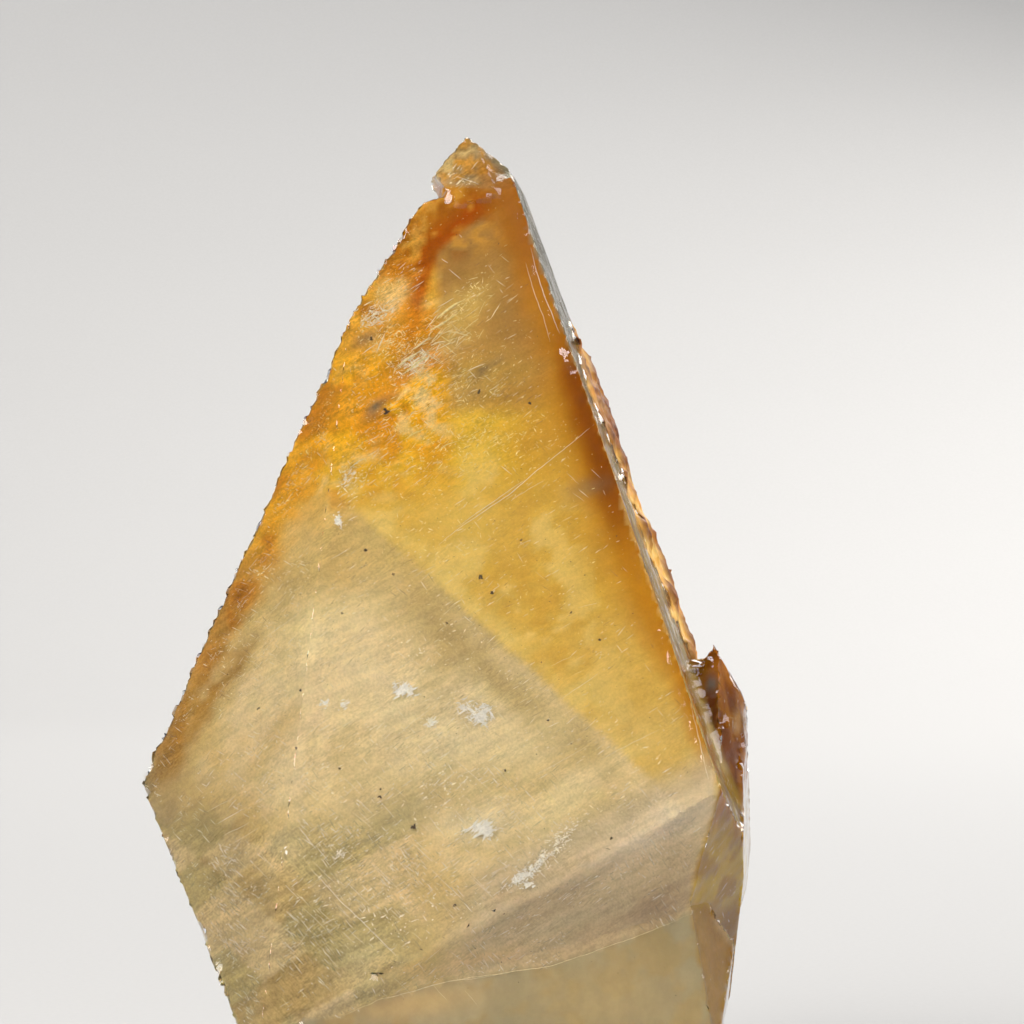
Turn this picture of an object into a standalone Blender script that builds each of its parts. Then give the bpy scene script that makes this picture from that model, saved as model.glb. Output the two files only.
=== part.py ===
"""Golden calcite: one "dogtooth" crystal with the smaller ones grown on it.

The c-axis of the crystal is vertical.  The big individual is a scalenohedron:
six upper faces and the lower faces below them, cut off flat so that it
stands.  Its tip is broken and carries a small cleavage block, a short side
crystal leans out of its right flank, and another individual grows out of its
foot.  They are intergrown, so they are joined into one solid.

Metres, +Z up.  Origin: middle of the bounding box, on the flat cut foot.
"""
import bpy
import bmesh
from math import atan2, copysign, cos, hypot, radians, sin, sqrt
from mathutils import Matrix, Vector

MM = 0.001

# ---------------------------------------------------------------- dimensions
NAME = "calcite"
BLANK = 300.0            # edge of the block each individual is cut from, mm

HONEY = (0.80, 0.52, 0.19, 1.0)
ROUGHNESS = 0.22
CALCITE_IOR = 1.60

# Lengths are in mm from the point where the c-axis meets the cut foot, and
# angles in degrees: an azimuth runs counter-clockwise from +X, and a rise is
# how far a face's outward direction points above the horizontal.

# calcite's own geometry: the axial ratio gives every face of a form its place
C_OVER_A = 0.8543
TURN = -16.6             # the crystal's a-axis, turned about the c-axis
STEEPER = 0.8            # its upper faces are a little steeper than the form

# where the six upper faces would meet if the tip were whole
APEX = (4.6, 0.0, 124.0)
GIRDLE_RIGHT = 41.9      # height at which the right ridge turns under
GIRDLE_LEFT = 42.3       # and the left edge

# upper faces of the scalenohedron {2 1 -3 1}, as (name, indices h k l, how
# much steeper than the form, how far it has grown out past the apex)
UPPER = [
    ("front", (1, -3, 1), STEEPER, 0.2),
    ("front_left", (-1, -2, 1), STEEPER, 7.6),
    ("back_left", (-3, 2, 1), 2.5, 0.1),
    ("back", (-2, 3, 1), STEEPER, 1.0),
    ("back_right", (2, 1, 1), STEEPER, 3.4),
    ("right", (3, -1, 1), STEEPER, 0.1),
]

# every other face is (name, azimuth, rise, a point that it passes through)
BREAKS = [
    # the right flank, where it grew against a neighbour
    ("flank_upper", 357.0, 0.0, (36.0, -1.0, 50.0)),
    ("flank_lower", 357.0, -6.6, (36.4, 0.0, 33.6)),
    ("flank_foot", 358.0, -17.0, (34.1, 0.0, 15.0)),
    # the break across the tip, and a cleavage chip on each side of it
    ("tip_break", 195.0, 74.0, (3.5, -4.0, 112.6)),
    ("tip_chip_left", 184.0, 40.0, (-2.1, -3.0, 111.6)),
    ("tip_chip_right", 8.0, 50.0, (8.5, 2.0, 114.0)),
]
FOOT_CUT = ("foot_cut", 0.0, -90.0, (0.0, 0.0, 0.0))

# the cleavage block left standing on the broken tip
BLOCK = [
    ("left", 180.0, 40.0, (0.1, 0.0, 116.0)),
    ("right", 9.0, 54.0, (5.2, 0.0, 116.8)),
    ("right_steep", 356.0, 24.0, (7.8, 0.0, 115.0)),
    ("front", 272.0, 22.0, (3.0, -5.0, 112.2)),
    ("front_right", 318.0, 30.0, (6.1, -3.4, 114.0)),
    ("back", 100.0, 24.0, (2.9, 3.6, 114.0)),
    ("under", 190.0, -34.0, (-1.5, 0.0, 113.3)),
    ("root", 15.0, -74.0, (3.5, -4.0, 111.1)),
]

# the side crystal on the right flank, whose own tip is at SIDE_TIP
SIDE_TIP = (32.2, -3.0, 57.7)
SIDE = [
    ("left", 178.0, 40.0, SIDE_TIP),
    ("right", 358.0, 28.0, (32.5, -3.0, 57.7)),
    ("front_upper", 262.0, 25.0, (32.2, -4.0, 57.7)),
    ("front_right", 330.0, 14.0, (32.8, -4.0, 57.7)),
    ("flank", 355.0, 0.0, (36.2, -0.5, 50.0)),
    ("flank_lower", 356.0, -6.6, (36.3, -5.0, 33.9)),
    ("back", 80.0, 30.0, (32.2, 0.5, 57.7)),
    ("inner", 180.0, 0.0, (14.0, 0.0, 40.0)),
    ("root", 0.0, -90.0, (20.0, 0.0, 27.0)),
]
SIDE_INSET = 0.4         # how far its lower faces stay inside the big crystal's

# the individual that grows out of the foot, below a curved ledge that ends at
# LEDGE_END on the ridge
LEDGE_END = (28.9, -24.7, 27.7)
FOOT = [
    ("front", 286.5, 11.0, LEDGE_END),
    ("right", 330.0, 12.4, LEDGE_END),
    ("flank", 355.0, -8.0, (34.4, -10.0, 20.7)),
    ("flank_low", 358.0, -17.0, (33.7, -10.0, 15.9)),
    ("corner", 225.0, -6.0, (-17.5, -36.6, 5.0)),
    ("back", 90.0, 0.0, (0.0, 5.0, 10.0)),
    ("top", 90.0, 40.0, (0.0, -20.0, 27.0)),
    FOOT_CUT,
]
FOOT_INSET = 0.5         # and how far the foot's other faces stay inside


# ------------------------------------------------------------------- helpers
def direction(azimuth, rise):
    a, r = radians(azimuth), radians(rise)
    return Vector((cos(r) * cos(a), cos(r) * sin(a), sin(r)))


def form_face(h, k, l, steeper=0.0):
    """Outward direction of the calcite face (h k l) in its hexagonal axes."""
    x, y, z = h, (h + 2 * k) / sqrt(3), l / C_OVER_A
    a = atan2(y, x) + radians(TURN)
    r = atan2(z, hypot(x, y))
    r -= copysign(radians(steeper), r)
    return Vector((cos(r) * cos(a), cos(r) * sin(a), sin(r)))


def through(normal, point):
    """Distance of the face with this direction that holds the point."""
    return normal.dot(Vector(point))


def edge_at(face_a, face_b, height):
    """The point at this height on the edge between two faces."""
    (na, da), (nb, db) = face_a, face_b
    rows = Matrix((na, nb, Vector((0.0, 0.0, 1.0))))
    return rows.inverted() @ Vector((da, db, height))


def planes(faces):
    """(name, direction, distance) of faces given by a point they pass."""
    out = []
    for name, azimuth, rise, point in faces:
        normal = direction(azimuth, rise)
        out.append((name, normal, through(normal, point)))
    return out


def inset(faces, names, depth):
    """Copies of the named faces, moved in by this depth."""
    return [(n, normal, d - depth) for n, normal, d in faces if n in names]


def big_individual():
    """The scalenohedron: its upper faces placed from the apex, and its lower
    faces from the corners where the edges turn under at the girdle."""
    faces = []
    for name, (h, k, l), steeper, grown in UPPER:
        normal = form_face(h, k, l, steeper)
        faces.append((name, normal, through(normal, APEX) + grown))
    at = {name: (normal, d) for name, normal, d in faces}
    right = edge_at(at["front"], at["right"], GIRDLE_RIGHT)
    left = edge_at(at["front_left"], at["back_left"], GIRDLE_LEFT)
    for name, normal, point in (
            ("low_left", direction(182.0, -24.0), left),
            ("low_front", form_face(2, -3, -1), right),
            ("low_right", form_face(3, -2, -1, 1.0), right),
            ("low_back_right", form_face(1, 2, -1), (25.0, 33.0, 39.5)),
            ("low_back", form_face(-1, 3, -1), (0.0, 39.5, 40.0))):
        faces.append((name, normal, through(normal, point)))
    return faces + planes(BREAKS) + planes([FOOT_CUT])


def individual(name, faces):
    """A convex crystal: a block sliced by one plane for each of its faces."""
    bm = bmesh.new()
    bmesh.ops.create_cube(bm, size=BLANK * MM)
    for _, normal, distance in faces:
        cut = bmesh.ops.bisect_plane(
            bm, geom=bm.verts[:] + bm.edges[:] + bm.faces[:],
            dist=1e-7, plane_co=normal * distance * MM, plane_no=normal,
            clear_outer=True)
        rim = [e for e in cut["geom_cut"] if isinstance(e, bmesh.types.BMEdge)]
        if rim:
            bmesh.ops.contextual_create(bm, geom=rim)
    bmesh.ops.remove_doubles(bm, verts=bm.verts[:], dist=1e-6)
    bmesh.ops.recalc_face_normals(bm, faces=bm.faces[:])
    mesh = bpy.data.meshes.new(name)
    bm.to_mesh(mesh)
    bm.free()
    return bpy.data.objects.new(name, mesh)


def calcite_material():
    mat = bpy.data.materials.new("honey_calcite")
    mat.use_nodes = True
    bsdf = mat.node_tree.nodes["Principled BSDF"]
    bsdf.inputs["Base Color"].default_value = HONEY
    bsdf.inputs["Roughness"].default_value = ROUGHNESS
    bsdf.inputs["Metallic"].default_value = 0.0
    bsdf.inputs["IOR"].default_value = CALCITE_IOR
    bsdf.inputs["Transmission Weight"].default_value = 0.7
    mat.diffuse_color = HONEY
    return mat


# --------------------------------------------------------------------- build
for old in list(bpy.data.objects):
    bpy.data.objects.remove(old, do_unlink=True)

scene = bpy.context.scene
parts = bpy.data.collections.new("calcite_crystal")
cutters = bpy.data.collections.new("calcite_individuals")
scene.collection.children.link(parts)
scene.collection.children.link(cutters)

big = big_individual()
side = planes(SIDE) + inset(big, ("low_front", "low_right"), SIDE_INSET)
foot = planes(FOOT) + inset(big, ("front", "front_left", "low_left"),
                            FOOT_INSET)

crystal = individual(NAME, big)
parts.objects.link(crystal)
crystal.data.materials.append(calcite_material())

# the box of all the individuals together gives the origin
everyone = [crystal]
for name, faces in (("foot_individual", foot), ("side_crystal", side),
                    ("tip_block", planes(BLOCK))):
    grown = individual(name, faces)
    cutters.objects.link(grown)
    grown.hide_render = True
    grown.display_type = "WIRE"
    everyone.append(grown)
    join = crystal.modifiers.new(name, "BOOLEAN")
    join.operation = "UNION"
    join.solver = "EXACT"
    join.object = grown

corners = [v.co for ob in everyone for v in ob.data.vertices]
middle = Vector(((min(c.x for c in corners) + max(c.x for c in corners)) / 2,
                 (min(c.y for c in corners) + max(c.y for c in corners)) / 2,
                 0.0))
for ob in everyone:
    ob.data.transform(Matrix.Translation(-middle))
    ob.data.update()
print("axis of the big individual at x, y mm: %.3f %.3f"
      % (-middle.x / MM, -middle.y / MM))
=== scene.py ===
from math import (atan2, copysign, cos, hypot, pi, radians, sin, sqrt)

import bpy
import bmesh
import numpy as np
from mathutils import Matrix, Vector
from mathutils.bvhtree import BVHTree


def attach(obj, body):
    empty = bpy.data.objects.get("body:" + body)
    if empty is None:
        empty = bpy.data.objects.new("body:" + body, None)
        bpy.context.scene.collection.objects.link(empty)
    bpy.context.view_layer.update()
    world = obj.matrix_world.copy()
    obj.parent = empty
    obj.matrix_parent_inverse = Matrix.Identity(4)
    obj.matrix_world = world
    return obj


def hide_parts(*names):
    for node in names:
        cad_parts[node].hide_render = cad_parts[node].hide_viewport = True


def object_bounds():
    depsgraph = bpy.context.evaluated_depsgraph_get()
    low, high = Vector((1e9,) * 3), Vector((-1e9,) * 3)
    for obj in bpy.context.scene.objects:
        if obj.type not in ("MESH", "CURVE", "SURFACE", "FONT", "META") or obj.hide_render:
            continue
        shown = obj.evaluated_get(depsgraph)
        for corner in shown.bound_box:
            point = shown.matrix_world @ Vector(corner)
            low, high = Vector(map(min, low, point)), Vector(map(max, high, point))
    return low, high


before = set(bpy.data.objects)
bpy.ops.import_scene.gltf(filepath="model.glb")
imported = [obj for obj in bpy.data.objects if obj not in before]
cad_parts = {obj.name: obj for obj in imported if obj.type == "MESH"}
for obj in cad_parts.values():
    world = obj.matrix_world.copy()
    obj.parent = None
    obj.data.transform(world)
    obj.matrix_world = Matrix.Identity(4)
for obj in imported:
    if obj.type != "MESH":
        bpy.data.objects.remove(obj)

# =====================================================================
# Golden calcite.  Lengths below are millimetres in the crystal's own
# growth frame (z along the c-axis, from the cut foot) unless they say
# metres; SHIFT moves that frame to the CAD frame.
# =====================================================================
cad_lo, cad_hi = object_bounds()
MM = 0.001
SHIFT = np.array([-0.928, 1.087, 0.0])


def direction(azimuth, rise):
    a, r = radians(azimuth), radians(rise)
    return np.array([cos(r) * cos(a), cos(r) * sin(a), sin(r)])


def form_face(h, k, l, steeper=0.0):
    """Outward direction of the calcite face (h k l), turned as this one is."""
    x, y, z = h, (h + 2 * k) / sqrt(3), l / 0.8543
    a = atan2(y, x) + radians(-16.6)
    r = atan2(z, hypot(x, y))
    r -= copysign(radians(steeper), r)
    return np.array([cos(r) * cos(a), cos(r) * sin(a), sin(r)])


def meet(*planes):
    """The corner where three (direction, distance) planes meet."""
    return np.linalg.solve(np.array([n for n, _ in planes]),
                           np.array([d for _, d in planes]))


def at_height(a, b, z):
    return meet(a, b, (np.array([0.0, 0.0, 1.0]), z))


# faces of the big individual, as (direction, distance), like the CAD part's
P_APEX = np.array([4.6, 0.0, 124.0])
F_FRONT, F_FRONT_LEFT, F_BACK_LEFT, F_BACK, F_BACK_RIGHT, F_RIGHT = [
    (n, n @ P_APEX + grown) for n, grown in (
        (form_face(1, -3, 1, 0.8), 0.2), (form_face(-1, -2, 1, 0.8), 7.6),
        (form_face(-3, 2, 1, 2.5), 0.1), (form_face(-2, 3, 1, 0.8), 1.0),
        (form_face(2, 1, 1, 0.8), 3.4), (form_face(3, -1, 1, 0.8), 0.1))]
P_RIGHT = at_height(F_FRONT, F_RIGHT, 41.9)         # foot of the right ridge
P_LEFT = at_height(F_FRONT_LEFT, F_BACK_LEFT, 42.3)  # left end of the girdle
P_KINK = meet(F_FRONT, F_FRONT_LEFT, F_BACK_LEFT)
F_LOW_FRONT, F_LOW_RIGHT, F_LOW_LEFT = [
    (n, n @ q) for n, q in ((form_face(2, -3, -1), P_RIGHT),
                            (form_face(3, -2, -1, 1.0), P_RIGHT),
                            (direction(182.0, -24.0), P_LEFT))]
F_LOW_BACK_RIGHT, F_LOW_BACK = [
    (n, n @ np.array(q)) for n, q in (
        (form_face(1, 2, -1), (25.0, 33.0, 39.5)),
        (form_face(-1, 3, -1), (0.0, 39.5, 40.0)))]
P_LOWLEFT = meet(F_FRONT, F_FRONT_LEFT, F_LOW_FRONT)
P_BACKTOP = at_height(F_BACK_RIGHT, F_RIGHT, 113.0)
P_BACKRIGHT = at_height(F_BACK_RIGHT, F_RIGHT, 44.0)
N_FRONT, N_FRONT_LEFT, N_BACK_LEFT = F_FRONT[0], F_FRONT_LEFT[0], F_BACK_LEFT[0]
N_RIGHT, N_LOW_FRONT = F_RIGHT[0], F_LOW_FRONT[0]
# the three cleavage directions of this crystal
CLEAVE = [form_face(1, 0, 1), form_face(-1, 1, 1), form_face(0, -1, 1)]


# ------------------------------------------------------------------ noise
def _hash(ix, iy, iz, seed):
    h = (ix.astype(np.uint32) * np.uint32(374761393)
         + iy.astype(np.uint32) * np.uint32(668265263)
         + iz.astype(np.uint32) * np.uint32(2147483647)
         + np.uint32((seed * 974634777) & 0xFFFFFFFF))
    h = (h ^ (h >> np.uint32(13))) * np.uint32(1274126177)
    h = (h ^ (h >> np.uint32(16))) * np.uint32(2246822519)
    h = h ^ (h >> np.uint32(15))
    return h.astype(np.float64) / 4294967295.0


def vnoise(p, seed=0):
    """Smooth value noise, 0 to 1, one lattice cell per unit."""
    f = np.floor(p)
    t = p - f
    t = t * t * t * (t * (t * 6 - 15) + 10)
    i = f.astype(np.int64)
    out = 0.0
    for dx in (0, 1):
        for dy in (0, 1):
            for dz in (0, 1):
                w = (np.where(dx, t[:, 0], 1 - t[:, 0])
                     * np.where(dy, t[:, 1], 1 - t[:, 1])
                     * np.where(dz, t[:, 2], 1 - t[:, 2]))
                out = out + w * _hash(i[:, 0] + dx, i[:, 1] + dy,
                                      i[:, 2] + dz, seed)
    return out


def fbm(p, octaves=4, seed=0, gain=0.5):
    total, amp, norm = 0.0, 1.0, 0.0
    for o in range(octaves):
        total = total + amp * vnoise(p * (2.03 ** o) + 17.3 * o, seed + o)
        norm += amp
        amp *= gain
    return total / norm


def ramp(x, a, b):
    t = np.clip((x - a) / (b - a), 0, 1)
    return t * t * (3 - 2 * t)


def to_segment(p, a, b):
    """Distance from points to the segment a-b, and the place along it."""
    d = b - a
    t = np.clip(((p - a) @ d) / (d @ d), 0, 1)
    return np.linalg.norm(p - (a + t[:, None] * d), axis=1), t


def rhomb(p, size, seed, warp=0.25):
    """Random number per cleavage-shaped cell, constant inside each cell."""
    ids = []
    for k, n in enumerate(CLEAVE):
        u = p @ n / size + warp * (vnoise(p / (size * 1.7), seed + k) - 0.5)
        ids.append(np.floor(u).astype(np.int64))
    return _hash(ids[0], ids[1], ids[2], seed + 9)


# ------------------------------------------------- the crystal's real skin
def dense_skin():
    """The CAD solid re-meshed finely, flat on its faces and crisp at its
    edges, ready for the relief that natural growth and knocks left."""
    node = bpy.data.objects["calcite"]
    bm = bmesh.new()
    bm.from_mesh(node.data)
    bmesh.ops.remove_doubles(bm, verts=bm.verts[:], dist=1e-6)
    bmesh.ops.dissolve_limit(bm, angle_limit=radians(0.6),
                             verts=bm.verts[:], edges=bm.edges[:])
    bmesh.ops.triangulate(bm, faces=bm.faces[:])
    bm.normal_update()
    bm.faces.ensure_lookup_table()
    segs = []
    for e in bm.edges:
        if len(e.link_faces) == 2 and e.calc_face_angle_signed(0) is not None:
            ang = e.calc_face_angle_signed(0)
            if abs(ang) > radians(4):
                segs.append((np.array(e.verts[0].co) / MM,
                             np.array(e.verts[1].co) / MM, ang))
    tree = BVHTree.FromBMesh(bm)
    normals = np.array([f.normal[:] for f in bm.faces])
    coarse = bpy.data.meshes.new("coarse")
    bm.to_mesh(coarse)
    bm.free()

    tmp = bpy.data.objects.new("tmp_skin", coarse)
    bpy.context.scene.collection.objects.link(tmp)
    mod = tmp.modifiers.new("grid", "REMESH")
    mod.mode = "VOXEL"
    mod.voxel_size = VOXEL * MM
    dg = bpy.context.evaluated_depsgraph_get()
    mesh = bpy.data.meshes.new_from_object(tmp.evaluated_get(dg))
    bpy.data.objects.remove(tmp, do_unlink=True)

    n = len(mesh.vertices)
    co = np.empty(n * 3)
    mesh.vertices.foreach_get("co", co)
    co = co.reshape(-1, 3)
    nor = np.empty((n, 3))
    for i in range(n):
        hit, _, idx, _ = tree.find_nearest(co[i])
        co[i] = hit
        nor[i] = normals[idx]
    co /= MM
    # snap what lies close to a crisp edge onto it
    best = np.full(n, 1e9)
    where = co.copy()
    near_convex = np.full(n, 1e9)
    for a, b, ang in segs:
        d = b - a
        t = np.clip(((co - a) @ d) / (d @ d), 0, 1)
        q = a + t[:, None] * d
        dist = np.linalg.norm(co - q, axis=1)
        m = dist < best
        best[m] = dist[m]
        where[m] = q[m]
        if ang > 0:
            near_convex = np.minimum(near_convex, dist)
    snap = best < 0.42 * VOXEL
    co[snap] = where[snap]
    return mesh, co, nor, near_convex, best


def px_of(g):
    """Flat map used to lay out the crystal's zones: the broad front face
    seen square on, 8.3 units to the millimetre."""
    k = 4980.0 / (g[:, 1] + 600.0)
    return 512 + k * (g[:, 0] - 8.01), 512 - k * (g[:, 2] - 73.73)


def ridge_u(v):
    """Where the sharp right ridge lies in the layout map at this height."""
    return 510.0 + (v - 170.0) * 212.0 / 620.0


def crusted(g, nor):
    """Where crust covers the right face: a ragged band at its far edge."""
    e, t = to_segment(g, P_BACKTOP, P_BACKRIGHT)
    rag = (fbm(g / 5.0, 3, 73) - 0.5) * 12 + (fbm(g / 1.8, 2, 74) - 0.5) * 8
    out = g @ N_RIGHT - F_RIGHT[1]
    side = ramp(out, -1.2, -0.6) * ramp(out, 1.7, 1.2)
    return side * ramp(nor @ N_RIGHT, 0.2, 0.6) * ramp(e + rag, 14.0, 8.0) \
        * ramp(t + 0.012 * rag, 0.24, 0.32) * ramp(g[:, 2], 44.5, 48.0) \
        * ramp(to_segment(g, P_APEX, P_RIGHT)[0], 3.0, 5.5)


def relief(g, nor, edge, anyedge):
    """Depth in mm, inward, of growth steps, striae, chips and crust."""
    u, v = px_of(g)
    d = 0.10 * fbm(g / 8.0, 3, 11)
    upper = (nor[:, 2] > 0.15)
    lower = (nor[:, 2] < -0.15) & (nor[:, 2] > -0.8)
    base = nor[:, 2] < -0.95
    # growth terraces on the upper faces, long in the direction of slope
    s = np.stack([g[:, 0] / 5.0, g[:, 1] / 5.0, g[:, 2] / 17.0], 1)
    t = fbm(s, 3, 21)
    terr = np.floor(t * 9) / 9
    edge_t = t * 9 - np.floor(t * 9)
    rear = ramp(nor[:, 1], 0.2, 0.5)
    d += upper * (1 - rear) * (0.40 * (1 - terr) * 0.5 + 0.03 * edge_t)
    # the faces turned away keep longer, softer steps
    s = np.stack([g[:, 0] / 9.0, g[:, 1] / 9.0, g[:, 2] / 26.0], 1)
    t = 5 * fbm(s, 2, 23)
    d += upper * rear * 0.10 * (np.floor(t) + ramp(t - np.floor(t), 0.1, 0.9))
    # striae across the lower faces, parallel to the girdle edge
    along = P_RIGHT - P_LOWLEFT
    along = along / np.linalg.norm(along)
    across = np.cross(along, N_LOW_FRONT)
    q = g @ across
    str1 = vnoise(np.stack([q / 0.9, g @ along / 30, q * 0 + 3], 1), 31)
    str2 = vnoise(np.stack([q / 2.6, g @ along / 22, q * 0 + 7], 1), 32)
    d += lower * (0.14 * str1 + 0.20 * np.floor(str2 * 4) / 4)
    # chips and cleavage steps eaten into the edges
    chip = rhomb(g, 1.9, 41)
    chip2 = rhomb(g, 3.6, 45)
    hit = fbm(g / 6.0, 3, 47)
    blunt, _ = to_segment(g, P_KINK, P_LOWLEFT)
    sharp, _ = to_segment(g, P_APEX, P_RIGHT)
    keep = ramp(blunt, 1.5, 4.0) * ramp(sharp, 0.7, 1.6) \
        * ramp(g[:, 2], 110, 104) \
        * (1 - ramp(g[:, 0], 25, 28) * ramp(g[:, 2], 43, 40))
    d += np.exp(-(edge / 0.5) ** 2) * 0.22 * chip * keep
    d += np.exp(-(edge / 1.3) ** 2) * 0.8 * ramp(chip2, 0.7, 0.95) \
        * ramp(hit, 0.50, 0.66) * keep
    # serrations along the left silhouette
    e1, t1 = to_segment(g, P_KINK, P_LEFT)
    line = np.stack([t1, t1 * 0, t1 * 0], 1)
    saw = 0.6 * ramp(vnoise(line * 66 + 5, 51), 0.35, 0.75) \
        + 0.6 * ramp(vnoise(line * 31 + 9, 52), 0.5, 0.7)
    d += np.exp(-(e1 / 0.9) ** 2) * 0.30 * saw \
        * (0.3 + 0.9 * ramp(vnoise(line * 7 + 2, 53), 0.3, 0.7))
    # bundle of striae on the narrow right face, along its ridge
    right = (nor @ N_RIGHT > 0.99)
    ridge = (P_RIGHT - P_APEX) / np.linalg.norm(P_RIGHT - P_APEX)
    side = np.cross(ridge, N_RIGHT)
    w = g @ side
    st = vnoise(np.stack([w / 0.8, g @ ridge / 34, w * 0], 1), 61)
    st2 = vnoise(np.stack([w / 2.2, g @ ridge / 26, w * 0 + 2], 1), 62)
    d += right * (0.14 * st + 0.20 * np.floor(st2 * 4) / 4) \
        * ramp(g[:, 2], 105, 85) * (0.45 + 0.55 * ramp(g[:, 2], 80, 62))
    d *= ramp(sharp, 0.1, 1.4) * (1 - 0.9 * np.exp(-(sharp / 1.0) ** 2))
    # bumpy crust over the outer half of the right face
    crust = crusted(g, nor)
    lump = fbm(np.stack([g[:, 0] / 2.2, g[:, 1] / 3.4, g[:, 2] / 4.2], 1),
               4, 71)
    d -= crust * ramp(v, 680, 640) * (0.78 * ramp(lump, 0.34, 0.74) - 0.12)
    # knobbly side crystal
    sidec = ramp(u, 716, 724) * ramp(v, 640, 652) * ramp(v, 800, 770)
    d += sidec * (0.5 * fbm(g / 1.7, 2, 75) - 0.2)
    # the foot was sawn flat
    d = np.where(base, 0.0, d)
    return d


VOXEL = 0.62

mesh, co, nor, edge, anyedge = dense_skin()
G = co - SHIFT
e, t = to_segment(G, P_APEX, P_RIGHT)
pull = (e < 0.8 * VOXEL) & (nor @ N_RIGHT > 0.99) & (G[:, 2] > 43) \
    & (G[:, 2] < 112)
co[pull] = (P_APEX + t[:, None] * (P_RIGHT - P_APEX) + SHIFT)[pull]
# the same for the blunt front edge and its run down to the foot
down = np.cross(N_FRONT_LEFT, N_LOW_FRONT)
P_FOOTLEFT = P_LOWLEFT - down * (P_LOWLEFT[2] / down[2])
for a, b in ((P_KINK, P_LOWLEFT), (P_LOWLEFT, P_FOOTLEFT)):
    e, t = to_segment(G, a, b)
    pull = (e < 0.8 * VOXEL) & (nor @ N_FRONT_LEFT > 0.99) & (t > 0.01) \
        & (t < 0.99)
    print("pulled onto the blunt edge:", pull.sum())
    co[pull] = (a + t[:, None] * (b - a) + SHIFT)[pull]
G = co - SHIFT
depth = relief(G, nor, edge, anyedge)
base = (nor[:, 2] < -0.95) & (co[:, 2] < 0.5)
pos = co - nor * depth[:, None]
lo = np.array(cad_lo) / MM
hi = np.array(cad_hi) / MM
pos = np.clip(pos, lo + 0.01, hi - 0.01)
pos[:, 2] = np.where(base | (co[:, 2] < 0.05), 0.0, pos[:, 2])
print("skin: %d vertices, %d faces" % (len(pos), len(mesh.polygons)))

G = pos - SHIFT
U, V = px_of(G)


# --------------------------------------------------------------- colour zones
def srgb(r, g, b):
    c = np.array([r, g, b]) / 255.0
    return np.where(c <= 0.04045, c / 12.92, ((c + 0.055) / 1.055) ** 2.4)


def path_distance(u, v, pts):
    """Signed distance to a polyline in the layout map, + to its right."""
    best = np.full(len(u), 1e9)
    sign = np.ones(len(u))
    for (x0, y0), (x1, y1) in zip(pts[:-1], pts[1:]):
        dx, dy = x1 - x0, y1 - y0
        t = np.clip(((u - x0) * dx + (v - y0) * dy) / (dx * dx + dy * dy),
                    0, 1)
        ex, ey = u - (x0 + t * dx), v - (y0 + t * dy)
        dist = np.hypot(ex, ey)
        m = dist < best
        best[m] = dist[m]
        sign[m] = np.sign(dx * (v - y0) - dy * (u - x0))[m]
    return best * sign


def blob(u, v, x, y, rx, ry, turn=0.0):
    c, s = cos(radians(turn)), sin(radians(turn))
    a = ((u - x) * c + (v - y) * s) / rx
    b = (-(u - x) * s + (v - y) * c) / ry
    return np.exp(-(a * a + b * b))


TIP_GREY = srgb(132, 118, 88)
TIP_AMBER = srgb(134, 102, 56)
BAND = srgb(150, 86, 12)
ORANGE = srgb(134, 54, 0)
INTERIOR = srgb(134, 97, 50)
INTERIOR_RED = srgb(106, 58, 15)
UPLEFT = srgb(232, 152, 22)
CREAM = srgb(246, 212, 144)
GOLD = srgb(222, 168, 52)
AMBER = srgb(104, 50, 0)
AMBER_LOW = srgb(158, 98, 14)
HONEY = srgb(191, 144, 57)
MILK = srgb(186, 156, 100)
BEIGE = srgb(237, 208, 160)
OLIVE = srgb(156, 134, 84)
MAUVE = srgb(174, 150, 116)
FOOTC = srgb(130, 122, 99)
SIDE = srgb(110, 54, 0)
CRUST = srgb(236, 184, 96)
LOWLEFT = srgb(132, 114, 80)
SMOKE = srgb(88, 80, 64)

# the foot's ledge in the layout map
LEDGE = [(337, 1018), (380, 998), (449, 980), (500, 972), (548, 964),
         (600, 947), (650, 929), (691, 911)]


def mix(c, col, w):
    w = np.clip(w, 0, 1)
    return c * (1 - w[:, None]) + np.atleast_2d(col) * w[:, None]


def band_of(u, v, pts, width, wob, fade=0.25):
    """A soft stripe along a path, frayed, and fading towards its ends."""
    d = path_distance(u, v, pts)
    a, b = np.array(pts[0]), np.array(pts[-1])
    t = ((u - a[0]) * (b - a)[0] + (v - a[1]) * (b - a)[1]) / ((b - a) @ (b - a))
    return np.exp(-((d + wob) / width) ** 2) * ramp(t, -fade * 0.4, fade) \
        * ramp(t, 1 + fade * 0.4, 1 - fade)


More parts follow.
